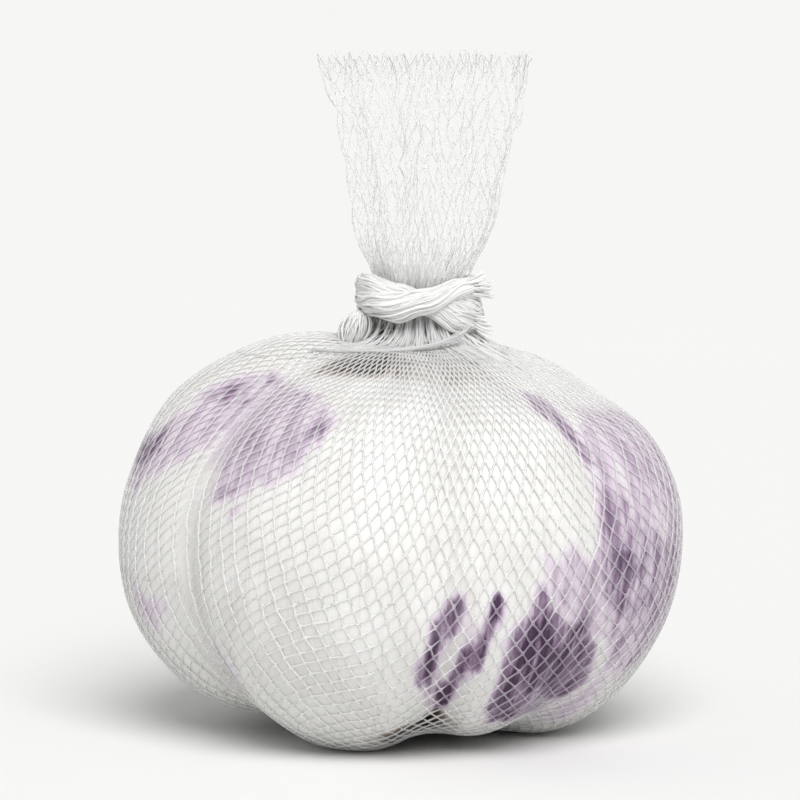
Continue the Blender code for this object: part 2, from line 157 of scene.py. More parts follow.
PURPLE_PATCHES = (
    # Upper left, with its darker corners and edges
    Patch(0.36, 1.7, (
        (-71, 62), (-68, 65), (-60, 67.6), (-38, 66.7), (-19, 63), (-18, 61), (-24, 57),
        (-32, 55.2), (-43, 53.3), (-50, 53.8), (-46, 55.7), (-54, 57.6), (-54, 60),
    )),
    Patch(0.62, 1.4, ((-65, 62.9), (-66, 64.8), (-60, 65.5), (-52, 64.3), (-59, 62.9))),
    Patch(0.6, 0.9, ((-61, 67), (-55, 68), (-26, 64.8), (-26, 63.8), (-41, 66.2), (-59, 66.4))),
    Patch(0.52, 1.3, ((-28, 61), (-21, 62.9), (-18, 61.9), (-20, 60), (-25, 59))),
    Patch(0.6, 0.9, ((-47, 54.3), (-43, 55.2), (-38, 54.8), (-43, 53.3))),
    Patch(0.45, 1, ((-38, 55.7), (-27, 57.6), (-27, 56.2), (-34, 54.8))),
    Patch(0.45, 0.6, ((-39.5, 51.4), (-39, 52.9), (-36, 53.8), (-37, 52.4))),
    # Left
    Patch(0.36, 1.5, (
        (-66, 62.4), (-74, 59), (-82, 56.7), (-86, 54.8), (-82, 52.9), (-74, 52.4), (-70, 54.3),
        (-60, 56.7), (-55, 59), (-56, 61.9),
    )),
    Patch(0.6, 1, ((-90, 56.7), (-73, 58.6), (-69, 58.1), (-72, 55.7), (-78, 54.3), (-88, 55))),
    Patch(0.26, 1.2, ((-73, 43.8), (-66, 41.9), (-60, 42.4), (-63, 38.6), (-72, 38.6), (-74, 41))),
    Patch(0.32, 1.2, ((-53, 37.6), (-45, 37.6), (-41, 36.2), (-43, 33.3), (-52, 31.9), (-52, 35.2))),
    # Right, the paler rim round a dark middle
    Patch(0.38, 1.6, (
        (60, 66.5), (92, 64.8), (94, 58), (92, 47.6), (88, 41.4), (80, 36.7), (66, 33.8),
        (56, 34.8), (51, 38.1), (47, 55.7), (45, 60.5),
    )),
    Patch(0.5, 1, (
        (45, 56.5), (53, 54.5), (62, 50.5), (74, 47), (76, 42.9), (70, 38.6), (55, 37.6),
        (49, 38.6), (44, 47.1),
    )),
    Patch(0.68, 1.2, ((46, 49), (54, 48.1), (62, 45.2), (65, 42.4), (58, 40), (50, 40.5), (46, 43.8))),
    Patch(0.5, 1, ((35, 66.7), (46, 65.7), (47, 61.9), (49, 57.6), (45, 57.5), (40, 61), (33, 63.4))),
    # Low on the right of the front, the darkest of all
    Patch(0.72, 1.1, (
        (28, 45.2), (33, 42.4), (36, 41), (43, 41.9), (46, 39), (49, 37.6), (53, 33.3),
        (50, 30.5), (40, 28.6), (26, 28.6), (21, 31), (22, 35.2), (21.5, 37.6), (22, 40.5),
        (25, 42.9),
    )),
    Patch(1.1, 1.6, (
        (24, 39), (26, 41), (28.5, 43.4), (34, 39.5), (43, 36.7), (44, 33.8), (38, 32.4),
        (27, 34.5),
    )),
    Patch(0.28, 1.6, ((29, 28), (60, 26), (63, 29), (62, 33), (54, 36.5), (53, 32), (51, 28.5))),
    Patch(0.42, 1.8, ((28, 48.1), (36, 49), (45, 47.1), (50, 38.1), (38, 40.5), (31, 42.9))),
    # Streaks left of it
    Patch(0.78, 1.0, (
        (9, 44.8), (12, 44.3), (12.5, 42.4), (11, 40.5), (9, 40), (8, 38.1), (6, 34.3),
        (2, 34.8), (2, 37.1), (5, 39), (5.5, 41), (6, 42), (8, 43.4),
    )),
    Patch(1.15, 0.9, (
        (18, 44.3), (20, 44.3), (20, 42.9), (19, 41.4), (18, 40), (16.5, 37.6), (15.5, 36.2),
        (13, 34.3), (12, 30.5), (9, 29.5), (7.5, 32.9), (9, 33.6), (11, 35.2), (12, 36.7),
        (13.5, 39), (15.5, 40.5), (17, 42.9),
    )),
    Patch(1.2, 0.8, (
        (17.5, 41.2), (17.5, 39), (16.5, 36.7), (15, 36), (12, 37.6), (13.5, 39), (15.5, 40.7),
    )),
    Patch(0.3, 1, ((12, 42.4), (15, 42.4), (16, 40.5), (14, 39), (11, 39.5), (11, 41))),
    Patch(0.26, 1, ((19, 41.4), (21, 40.5), (21, 39), (18, 39), (17, 40))),
    Patch(0.5, 1.2, ((4, 34.8), (10, 35.2), (13, 33.8), (12, 30), (7, 30))),
    # Back, guessed
    Patch(0.36, 1.3, (
        (96, 58), (104, 62.5), (118, 61), (129, 57), (126, 50), (130, 44), (121, 41), (117, 35),
        (108, 36.5), (104, 42), (99, 44), (101, 51),
    )),
    Patch(0.72, 1.0, (
        (103, 57), (111, 56.5), (116, 51), (114, 46), (119, 40), (112, 38), (107, 45), (108, 50),
    )),
    Patch(0.34, 1.3, (
        (147, 64), (157, 68), (176, 67), (188, 63), (183, 56), (187, 50), (176, 47), (168, 42.5),
        (163, 48), (155, 50), (157, 57),
    )),
    Patch(0.62, 1.0, (
        (156, 64), (166, 65), (176, 60), (171, 54), (174, 49), (166, 47), (163, 53), (158, 58),
    )),
    Patch(0.4, 1.2, (
        (198, 38), (204, 43), (213, 46), (221, 43), (219, 38), (227, 34), (219, 29), (208, 30),
        (209, 35),
    )),
    Patch(0.85, 1.0, (
        (205, 38), (211, 41.5), (216, 38), (214, 35), (219, 31.5), (211, 31.5), (210, 35),
    )),
    Patch(0.38, 1.3, (
        (234, 56), (240, 62), (252, 63), (263, 59), (258, 53), (264, 47), (254, 44), (249, 40.5),
        (245, 46), (238, 47), (242, 52),
    )),
)
DEGREE_LENGTH = 0.54
PERCENT_LENGTH = 1.15
PATCH_FRAY = ((47, 0.35), (71, 0.35), (103, 0.3), (131, 0.25))

# Edges of papery layers: azimuth at the foot and at the shoulder, and their heights
LAYER_EDGES = (
    (-44, -33, 4, 24),
    (38, 41, 6, 40),
    (12, 2, 2, 26),
    (96, 104, 5, 36),
    (150, 141, 3, 30),
    (214, 222, 6, 38),
    (262, 252, 4, 32),
)
LAYER_STEP = 0.16
LAYER_FADE = 11.0

# The net on the bulb
NET_CLEARANCE = 0.2
DRAPE_COLUMNS = 96
DRAPE_ROWS = 72
DRAPE_ROUNDS = 300
DRAPE_START_GAP = 2.0
ROUND_PULL = 0.3
PROFILE_POINTS = 170
GATHER_RADIUS = 3.2
MESHES_AT_SIDE = 98
MESH_DIAGONAL = 3.32
LEAST_MESH_HEIGHT = 2.0
KNOT_SHARE = 13
LEAST_OPENING = 0.14
# How the net is pulled askew, at azimuths all round from the back: how far its wales
# lean over the lower and upper part, in degrees, and how far its courses stand above
# their places there, as a share of the way up the net
PULL_AZIMUTHS = (-180, -125, -80, -50, -25, 0, 30, 60, 110, 180)
LOWER_LEAN = (58, 44, 43, 40, 28, 13, -5, -9, 17)
UPPER_LEAN = (2, 34, 51, 34, 18, 8, -4, -21, -10)
LOWER_RISE = (-0.067, -0.040, -0.076, -0.068, -0.008, -0.092, -0.091, -0.071, -0.018)
UPPER_RISE = (0.018, 0.006, 0.008, 0.058, 0.008, 0.010, -0.012, -0.012, -0.010)

# The thread's finish: its colour over purple skin, a painted tint that stands in for the skin's
# # purple light shining through and bounced off the white thread, the grain of its filaments,
# # and how much of the light each kind of thread stops
PAINTED_SKIN_LIGHT_ON_THREAD = (0.36, 0.27, 0.38)
NET_GRAIN = 2600.0
TIE_GRAIN = 2200.0
NET_OPACITY = 0.5
GATHERED_OPACITY = 0.7
TIE_OPACITY = 1.0
# Heights at which the net is parted, so that no piece of it has too many faces
LOWER_CUT = 19.0
UPPER_CUT = 44.0
# How far the threads stay above the ground
GROUND_GAP = 0.02
# How far knots stray, as a share of a mesh's width, and the fan's also in millimetres
BODY_KNOT_STRAY = 0.055
FAN_KNOT_STRAY = 0.14
FAN_KNOT_SHIFT = 0.2

# The gathered neck and the pleated fan
NECK_BOTTOM = 45.1
NECK_NET_TOP = 50.4
NECK_TOP = 53.0
FAN_TOP = 78.0
NECK_RADII = ((45.1, 8.0), (45.9, 6.5), (47.0, 5.4), (48.6, 4.9), (50.6, 4.7), (53.0, 5.3))
FAN_HALF_WIDTHS = ((53.0, 5.3), (55.5, 6.8), (59.0, 7.9), (66.0, 9.2), (78.0, 12.2))
FAN_HALF_DEPTHS = ((53.0, 5.3), (55.5, 4.4), (60.0, 3.4), (66.0, 3.0), (78.0, 2.6))
FAN_SHIFTS = (
    (45.1, 0.0),
    (51.0, 0.1),
    (53.0, 0.4),
    (57.0, 0.8),
    (62.0, 1.15),
    (70.0, 1.3),
    (78.0, 0.85),
)
OUTLINE_POINTS = 1201
NECK_FOLDS = 27
NECK_FOLD_DEPTHS = ((45.1, 0.25), (46.5, 0.45), (53.0, 0.5), (58.0, 0.25), (64.0, 0.0), (78.0, 0.0))
FAN_PLEATS = 7
FAN_PLEAT_DEPTHS = ((45.1, 0.0), (50.0, 0.0), (55.0, 0.4), (60.0, 1.0), (68.0, 1.5), (78.0, 1.6))
FAN_BOTTOM = 49.6
FAN_FIBRES = 240
FAN_FIBRE_POINTS = 9
SHOULDER_FOLDS = 190
GATHER_POINTS = 40
GATHER_COLUMNS = 162
# The solid middle of the gathered neck, as radius and height
GATHER_PROFILE = (
    (0.0, 46.4),
    (3.9, 46.6),
    (4.2, 48.5),
    (4.1, 50.8),
    (3.9, 52.2),
    (3.0, 53.2),
    (1.4, 53.8),
    (0.0, 53.9),
)
# A fold of the net along the shoulder in front, which climbs to the tie at its right
NECK_RIM = (
    (-13.2, -5.5, 44.55),
    (-11.6, -7.8, 44.7),
    (-9.4, -10.0, 44.8),
    (-5.6, -12.0, 44.95),
    (-2.0, -11.6, 45.1),
    (1.0, -10.1, 45.35),
    (3.2, -9.1, 45.8),
    (4.9, -7.6, 46.6),
    (5.8, -6.0, 47.6),
)
RIM_HALVES = ((0, 0.04), (0.25, 0.12), (0.5, 0.18), (0.75, 0.28), (1, 0.5))
RIM_POINTS = 16
RIM_FIBRES = 44
RIM_FIBRE_HALF = 0.075
RIM_TWIST = 4.0

# The tie's two turns: azimuth in degrees, outer radius, height and half height
TIE_INNER_RADIUS = 5.65
TIE_FRONT_TURN = (
    (-180, 7.1, 50.2, 1.5),
    (-95, 7.2, 50.2, 1.5),
    (-50, 7.7, 50.1, 1.8),
    (-20, 8.1, 49.5, 1.8),
    (5, 8.0, 50.1, 1.5),
    (45, 7.5, 51.4, 1.2),
    (90, 7.1, 51.3, 1.3),
)
TIE_REAR_TURN = (
    (-180, 7.0, 49.0, 1.6),
    (-95, 7.2, 51.3, 1.5),
    (-55, 7.3, 51.8, 1.2),
    (-20, 6.9, 50.9, 1.2),
    (5, 6.9, 50.0, 1.4),
    (40, 7.3, 48.6, 2.1),
    (70, 7.7, 48.4, 2.1),
    (110, 7.2, 48.4, 1.8),
)
TIE_ENDS = (
    ((4.9, -4.2, 51.9), (6.4, -3.6, 52.3), (7.9, -3.0, 53.0)),
    ((5.0, -4.0, 51.5), (6.9, -3.4, 51.6), (8.7, -3.2, 51.9)),
    ((5.2, -3.8, 51.1), (7.0, -3.0, 50.8), (8.6, -2.2, 50.9)),
    ((5.6, -3.6, 48.6), (6.9, -3.0, 47.9), (8.0, -2.8, 47.7)),
    ((5.6, -3.6, 48.0), (7.1, -3.2, 47.0), (8.8, -3.0, 46.6)),
)
TIE_END_POINTS = 14
TIE_END_HALF = 0.34
TIE_END_FIBRES = 12
TIE_END_SPLAY = 1.6
TURN_POINTS = 110
TURN_SPREAD = 0.98
# The ring that fills a turn behind its fibres, as a share of the turn's own section
CORE_SHARE = 0.84
CORE_COLUMNS = 90
CORE_SIDES = 14
CORE_SKETCH_RADIUS = 3.0
# The tuft, a loop of loose fibres at the left, as an egg: its middle and half sizes
TUFT_MIDDLE = (-7.2, -3.0, 46.7)
TUFT_SIZE = (1.6, 1.7, 2.2)
TUFT_FIBRES = 260
TUFT_POINTS = 16


# Curves and surfaces that several pieces share


def smooth_through(points, shares):
    """A smooth curve through points, which count as evenly spaced along it, read at
    shares from 0 to 1."""
    points = np.asarray(points, float)
    ends = (2 * points[:1] - points[1:2], 2 * points[-1:] - points[-2:-1])
    padded = np.concatenate([ends[0], points, ends[1]])
    spans = len(points) - 1
    at = np.clip(np.asarray(shares, float), 0, 1) * spans
    span = np.minimum(at.astype(int), spans - 1)
    t = (at - span).reshape(span.shape + (1,) * (points.ndim - 1))
    a, b, c, d = (padded[span + k] for k in range(4))
    cubic = 3 * b - 3 * c + d - a
    square = 2 * a - 5 * b + 4 * c - d
    return 0.5 * (2 * b + (c - a) * t + square * t**2 + cubic * t**3)


def read_off(pairs, at):
    """The second number of (position, value) pairs, in between them by a smooth step."""
    places, values = np.array(pairs, float).T
    return smooth_through(values, np.interp(at, places, np.linspace(0, 1, len(places))))


def ramp(value, start, width):
    """0 before start, 1 from width past it, and a smooth rise in between."""
    share = np.clip((value - start) / width, 0, 1)
    return share * share * (3 - 2 * share)


def lean(points):
    """Points shifted sideways as the bulb and its stem lean, more the higher they are."""
    leaning = np.array(points, float)
    leaning[..., 0] += STEM_LEAN * np.clip(leaning[..., 2] / STEM_TOP, 0, 1) ** 3
    return leaning


def around(azimuth, radius, height):
    """A point at an azimuth from the front, as (x, y, z)."""
    azimuth, radius, height = np.broadcast_arrays(azimuth, radius, height)
    return np.stack([radius * np.sin(azimuth), -radius * np.cos(azimuth), height], -1)


def azimuth_of(point):
    """A point's azimuth from the front, in radians."""
    return math.atan2(point[0], -point[1])


def clove_at(azimuth):
    """The clove that fills an azimuth in radians, and 1 on its crown to 0 in a crease."""
    first = CLOVES[0].start
    degrees = (math.degrees(azimuth) - first) % 360 + first
    clove = next(c for c in CLOVES if degrees < c.end or c is CLOVES[-1])
    across = 2 * (degrees - clove.start) / (clove.end - clove.start) - 1
    return clove, 1 - min(abs(across), 1) ** CLOVE_CROWN_POWER


def bulb_profile(azimuth, shares, growth):
    """Radius and height of the bulb's skin at an azimuth, a growth further out than
    the plain solid, and the outward direction there."""
    clove, crown = clove_at(azimuth)
    ridge = np.array(CROWN_PROFILE)
    ridge[:, 0] += clove.reach * np.array(REACH_SHARE)
    ridge[:, 1] += clove.foot * np.array(FOOT_SHARE)
    ridge[:, 1] += clove.shoulder * np.array(SHOULDER_SHARE)
    crease = np.array(CREASE_PROFILE)
    line = smooth_through(crease + crown * (ridge - crease), shares)
    along = np.gradient(line, axis=0)
    outward = np.stack([along[:, 1], -along[:, 0]], -1)
    outward /= np.linalg.norm(outward, axis=-1, keepdims=True)
    return line + growth * outward, outward


# Meshes


def standing_line(bm, points):
    """New points and the edges that join them in turn, as one list."""
    line = [bm.verts.new(point) for point in points]
    return line + [bm.edges.new(pair) for pair in zip(line, line[1:])]


def spin_round(bm, sketch, columns):
    """Turns a sketch once round the upright axis, and joins its end to its start."""
    bmesh.ops.spin(
        bm,
        geom=sketch,
        cent=(0, 0, 0),
        axis=(0, 0, 1),
        angle=FULL_TURN,
        steps=columns,
        use_merge=True,
    )


def mesh_object(bm, name, finish):
    """The bmesh, in millimetres, as a smooth object in metres with its finish."""
    bmesh.ops.scale(bm, vec=(MM, MM, MM), verts=bm.verts[:])
    mesh = bpy.data.meshes.new(name)
    bm.to_mesh(mesh)
    bm.free()
    mesh.shade_smooth()
    mesh.materials.append(finish)
    made = bpy.data.objects.new(name, mesh)
    bpy.context.scene.collection.objects.link(made)
    return made


def settle(piece, node):
    """Fixes a finished piece to the body, in place of a plain node."""
    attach(piece, BODY)
    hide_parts(node)


def strands_object(name, routes, halves, finish, sides=0):
    """Round strands as one mesh: a route of points each, and a half thickness each,
    or one for every point of the route."""
    curve = bpy.data.curves.new(name, "CURVE")
    curve.dimensions = "3D"
    curve.use_fill_caps = True
    curve.bevel_depth = MM
    curve.bevel_resolution = sides
    for route, half in zip(routes, halves):
        spline = curve.splines.new("POLY")
        spline.points.add(len(route) - 1)
        spline.points.foreach_set("co", np.c_[np.asarray(route) * MM, np.ones(len(route))].ravel())
        spline.points.foreach_set("radius", np.broadcast_to(half, len(route)).astype(float))
    holder = bpy.data.objects.new(name, curve)
    bpy.context.scene.collection.objects.link(holder)
    bpy.context.view_layer.update()
    graph = bpy.context.evaluated_depsgraph_get()
    mesh = bpy.data.meshes.new_from_object(holder.evaluated_get(graph))
    bpy.data.objects.remove(holder)
    bm = bmesh.new()
    bm.from_mesh(mesh)
    bpy.data.meshes.remove(mesh)
    bmesh.ops.remove_doubles(bm, verts=bm.verts[:], dist=1e-7)
    bmesh.ops.recalc_face_normals(bm, faces=bm.faces[:])
    bmesh.ops.scale(bm, vec=(1 / MM, 1 / MM, 1 / MM), verts=bm.verts[:])
    return mesh_object(bm, name, finish)


# Finishes


def new_material(name):
    """A material that uses nodes, its node tree and its shader."""
    made = bpy.data.materials.new(name)
    made.use_nodes = True
    tree = made.node_tree
    shader = tree.nodes["Principled BSDF"]
    return made, tree, shader


def add_node(tree, kind, settings=None, inputs=None):
    """A node with its settings, and its inputs set to numbers or linked to sockets."""
    node = tree.nodes.new(kind)
    for key, value in (settings or {}).items():
        setattr(node, key, value)
    for key, value in (inputs or {}).items():
        socket = node.inputs[key]
        if isinstance(value, bpy.types.NodeSocket):
            tree.links.new(value, socket)
        else:
            socket.default_value = value
    return node


def object_place(tree):
    """The place on a piece, in metres from the origin."""
    return add_node(tree, "ShaderNodeTexCoord").outputs["Object"]


def attribute(tree, name, output="Fac"):
    """What a mesh keeps under a name for each of its points."""
    return add_node(tree, "ShaderNodeAttribute", {"attribute_name": name}).outputs[output]


def noise(tree, place, scale, detail=3.0, roughness=0.5, distortion=0.0):
    """Cloudy noise from 0 to 1."""
    inputs = {
        "Vector": place,
        "Scale": scale,
        "Detail": detail,
        "Roughness": roughness,
        "Distortion": distortion,
    }
    return add_node(tree, "ShaderNodeTexNoise", inputs=inputs).outputs["Fac"]


def stretch(tree, place, scale):
    """A place scaled along its three axes, so that a pattern on it is drawn out."""
    node = add_node(tree, "ShaderNodeMapping", inputs={"Vector": place, "Scale": scale})
    return node.outputs["Vector"]


def math_node(tree, operation, *values):
    """The result of one sum on numbers or sockets."""
    node = tree.nodes.new("ShaderNodeMath")
    node.operation = operation
    for socket, value in zip(node.inputs, values):
        if isinstance(value, bpy.types.NodeSocket):
            tree.links.new(value, socket)
        else:
            socket.default_value = value
    return node.outputs[0]


def remap(tree, value, low, high, to_low=0.0, to_high=1.0):
    """Value taken from one range to another with a smooth step, and held at its ends."""
    inputs = {
        "Value": value,
        "From Min": low,
        "From Max": high,
        "To Min": to_low,
        "To Max": to_high,
    }
    settings = {"interpolation_type": "SMOOTHSTEP"}
    return add_node(tree, "ShaderNodeMapRange", settings, inputs).outputs["Result"]


def blend_colours(tree, share, first, second, way="MIX"):
    """The first colour where share is 0, and where it is 1 the second, or both mixed
    another way."""
    node = tree.nodes.new("ShaderNodeMix")
    node.data_type = "RGBA"
    node.blend_type = way
    sockets = {"Factor_Float": share, "A_Color": first, "B_Color": second}
    for identifier, value in sockets.items():
        socket = next(s for s in node.inputs if s.identifier == identifier)
        if isinstance(value, bpy.types.NodeSocket):
            tree.links.new(value, socket)
        else:
            socket.default_value = value
    return next(s for s in node.outputs if s.identifier == "Result_Color")


def colour_steps(tree, value, steps):
    """A colour ramp through (position, colour) steps."""
    node = add_node(tree, "ShaderNodeValToRGB", inputs={"Fac": value})
    stops = node.color_ramp.elements
    while len(stops) < len(steps):
        stops.new(0.5)
    for stop, (position, colour) in zip(stops, steps):
        stop.position = position
        stop.color = (*colour, 1)
    return node.outputs["Color"]


def bump(tree, shader, height, depth):
    """Fine relief for a shader, so many millimetres deep where the height is 1."""
    inputs = {"Height": height, "Distance": depth * MM, "Strength": 1.0}
    node = add_node(tree, "ShaderNodeBump", inputs=inputs)
    tree.links.new(node.outputs["Normal"], shader.inputs["Normal"])


def skin_material(settings):
    """Dry papery skin: ivory white with fine veins, purple streaks, and brown at the
    stem and root, deepened with painted shade in the root hollow, under the front foot and in
    the hollow round the stem's foot."""
    made, tree, shader = new_material("garlic_skin")
    along = attribute(tree, "along_skin", "Vector")
    purple = attribute(tree, "purple")
    brown = attribute(tree, "brown")
    place = object_place(tree)

    broad = noise(tree, stretch(tree, along, (1, 1, 0.9)), 5.0, 3.0)
    streaks = noise(tree, stretch(tree, along, (1, 1, 0.22)), 17.0, 6.0, 0.62)
    veins = noise(tree, stretch(tree, along, (1, 1, 0.05)), 60.0, 4.0, 0.6, 0.15)
    mottle = noise(tree, place, 380.0, 4.0, 0.6)

    dull, bright = (*settings.skin_shade, 1), (*settings.skin_colour, 1)
    ivory = blend_colours(tree, remap(tree, broad, 0.3, 0.7), dull, bright)
    vein_tint = remap(tree, veins, 0.52, 0.75, 0.0, 0.5)
    ivory = blend_colours(tree, vein_tint, ivory, (*settings.vein_colour, 1), "MULTIPLY")

    streaky = remap(tree, streaks, 0.3, 0.7, 0.5, 1.5)
    stain = math_node(tree, "MULTIPLY", purple, streaky)
    grain = math_node(tree, "MULTIPLY", math_node(tree, "SUBTRACT", mottle, 0.5), purple)
    stain = math_node(tree, "ADD", stain, math_node(tree, "MULTIPLY", grain, 0.9))
    stain_colour = colour_steps(
        tree,
        stain,
        (
            (0.0, (0.77, 0.73, 0.77)),
            (0.3, tuple(settings.lavender)),
            (0.62, tuple(settings.purple)),
            (1.0, tuple(settings.deep_purple)),
        ),
    )
    colour = blend_colours(tree, remap(tree, stain, 0.0, 0.3), ivory, stain_colour)
    uneven = math_node(tree, "MULTIPLY", math_node(tree, "SUBTRACT", streaks, 0.5), 0.7)
    # How brown the skin is painted, with noise: its dried stem and root, and painted shade in the
    # hollows; the darkest step of the colours below is near-black painted shade
    dry_and_shade = math_node(tree, "ADD", brown, uneven)
    dry_and_shade_colour = colour_steps(
        tree,
        dry_and_shade,
        (
            (0.0, (0.50, 0.42, 0.33)),
            (0.5, (0.22, 0.15, 0.10)),
            (1.0, tuple(settings.root_and_shade_colour)),
        ),
    )
    near_brown = remap(tree, brown, 0.0, 0.25)
    dry_and_shade_amount = math_node(tree, "MULTIPLY", remap(tree, dry_and_shade, 0.15, 0.8), near_brown)
    colour = blend_colours(tree, dry_and_shade_amount, colour, dry_and_shade_colour)
    tree.links.new(colour, shader.inputs["Base Color"])
    tree.links.new(remap(tree, streaks, 0.3, 0.7, 0.38, 0.55), shader.inputs["Roughness"])
    shader.inputs["Specular IOR Level"].default_value = 0.35
    shader.inputs["Subsurface Weight"].default_value = 0.12
    shader.inputs["Subsurface Radius"].default_value = (0.003, 0.0026, 0.0024)
    shader.inputs["Subsurface Scale"].default_value = 1.0
    vein_relief = math_node(tree, "MULTIPLY", veins, 0.8)
    relief = math_node(tree, "ADD", vein_relief, math_node(tree, "MULTIPLY", mottle, 0.35))
    bump(tree, shader, relief, 0.16)
    return made


def root_material(settings):
    """Dry brown root fibre with paler ends and dark earth between; its brown is deepened towards black
    with painted shade of the hollow it hangs in.
    """
    made, tree, shader = new_material("garlic_root")
    place = object_place(tree)
    grain = noise(tree, place, 900.0, 5.0, 0.65)
    patches = noise(tree, place, 220.0, 3.0)
    dark = tuple(settings.root_and_shade_colour)
    pale = tuple(min(1.0, 4.5 * part + 0.02) for part in dark)
    colour = colour_steps(tree, grain, ((0.3, dark), (0.75, pale)))
    colour = blend_colours(tree, remap(tree, patches, 0.4, 0.7), colour, (*dark, 1), "MULTIPLY")
    tree.links.new(colour, shader.inputs["Base Color"])
    shader.inputs["Roughness"].default_value = 0.85
    bump(tree, shader, grain, 0.15)
    return made


def thread_material(name, colour, roughness, scale, opacity):
    """Soft white plastic thread: faint bands of drawn filament and tiny gloss changes.
    Thin thread lets light through, and over purple skin its colour is painted purple, standing in for
    the skin's light shining through the thread and bounced onto it."""
    made, tree, shader = new_material(name)
    place = object_place(tree)
    filament = noise(tree, stretch(tree, place, (1.0, 1.0, 0.35)), scale, 4.0, 0.6)
    cloud = noise(tree, place, scale / 12, 3.0)
    shade = tuple(part * 0.93 for part in colour)
    tint = blend_colours(tree, remap(tree, cloud, 0.3, 0.7), (*shade, 1), (*colour, 1))
    # Painted light: thread over purple skin is tinted purple, standing in for the skin's light shining
    # through it and bounced onto it
    under = attribute(tree, "purple")
    tint = blend_colours(tree, remap(tree, under, 0.1, 1.0, 0.0, 0.9), tint, (*PAINTED_SKIN_LIGHT_ON_THREAD, 1))
    tree.links.new(tint, shader.inputs["Base Color"])
    gloss = remap(tree, filament, 0.3, 0.7, roughness - 0.08, roughness + 0.1)
    tree.links.new(gloss, shader.inputs["Roughness"])
    shader.inputs["Specular IOR Level"].default_value = 0.45
    shader.inputs["Alpha"].default_value = opacity
    shader.inputs["Subsurface Weight"].default_value = 0.3
    shader.inputs["Subsurface Radius"].default_value = (0.0008, 0.0008, 0.0008)
    shader.inputs["Subsurface Scale"].default_value = 1.0
    bump(tree, shader, filament, 0.03)
    return made


def floor_material(settings):
    """Plain matt paper, very slightly clouded."""
    made, tree, shader = new_material("studio_floor")
    place = object_place(tree)
    cloud = noise(tree, place, 3.0, 3.0)
    pale = tuple(settings.floor_colour)
    shade = tuple(part * 0.985 for part in pale)
    tint = blend_colours(tree, cloud, (*shade, 1), (*pale, 1))
    tree.links.new(tint, shader.inputs["Base Color"])
    shader.inputs["Roughness"].default_value = 0.9
    shader.inputs["Specular IOR Level"].default_value = 0.1
    return made


# The bulb


def wrinkles(azimuths, shares, depth):
    """Height of the skin's ribs and shallow dents: waves that run round the bulb in
    whole numbers and drift slowly up it, drawn by a seeded random source."""
    draw = np.random.default_rng(31)
    relief = np.zeros((len(azimuths), len(shares)))
    up = shares[None, :]
    round_it = azimuths[:, None]
    for count in WRINKLES_ROUND:
        drift = draw.uniform(-5, 5)
        phase = draw.uniform(0, FULL_TURN)
        swell = 0.5 + 0.5 * np.sin(draw.uniform(4, 12) * up + draw.uniform(0, FULL_TURN))
        size = depth * (1.2 / (1 + count / 14))
        relief += size * swell * np.sin(count * round_it + drift * up + phase)
    ends = ramp(shares, 0.12, 0.1) * (1 - ramp(shares, 0.84, 0.08))
    return relief * ends[None, :]


def layer_relief(degrees, heights):
    """The raised edges of papery layers, sharp on one side and fading on the other."""
    relief = np.zeros_like(heights)
    for foot, shoulder, low, high in LAYER_EDGES:
        edge = foot + (shoulder - foot) * (heights - low) / (high - low)
        past = (degrees - edge + 180) % 360 - 180
        step = ramp(past, -0.5, 0.8) * (1 - ramp(past, 0.5, LAYER_FADE))
        relief += LAYER_STEP * step * ramp(heights, low, 3) * (1 - ramp(heights, high - 4, 4))
    return relief


def depth_inside(across, up, outline):
    """How far points lie inside a closed outline, or outside it where negative."""
    nearest = np.full(across.shape, np.inf)
    inside = np.zeros(across.shape, bool)
    for (x, y), (next_x, next_y) in zip(outline, np.roll(outline, -1, axis=0)):
        along_x, along_y = next_x - x, next_y - y
        share = ((across - x) * along_x + (up - y) * along_y) / (along_x**2 + along_y**2)
        share = np.clip(share, 0, 1)
        apart = np.hypot(across - x - share * along_x, up - y - share * along_y)
        nearest = np.minimum(nearest, apart)
        if along_y:
            level = (y > up) != (next_y > up)
            inside ^= level & (across < x + (up - y) * along_x / along_y)
    return np.where(inside, nearest, -nearest)


def purple_share(degrees, shares):
    """How purple the skin is meant to be, before the streaks of the finish: the
    patches fade at their edges and fray into streaks that run up the skin."""
    draw = np.random.default_rng(44)
    turns = np.radians(degrees)
    fray = 0
    for count, size in PATCH_FRAY:
        fray = fray + size * np.sin(count * turns + draw.uniform(0, FULL_TURN))
    up = shares * 100 * PERCENT_LENGTH + fray
    share = np.zeros_like(up)
    for patch in PURPLE_PATCHES:
        outline = np.array(patch.outline, float)
        middle = outline[:, 0].mean()
        across = ((degrees - middle + 180) % 360 - 180) * DEGREE_LENGTH
        outline[:, 0] = (outline[:, 0] - middle) * DEGREE_LENGTH
        outline[:, 1] *= PERCENT_LENGTH
        depth = depth_inside(across, up, outline)
        share = np.maximum(share, patch.depth * ramp(depth, -patch.fade, 2 * patch.fade))
    return share


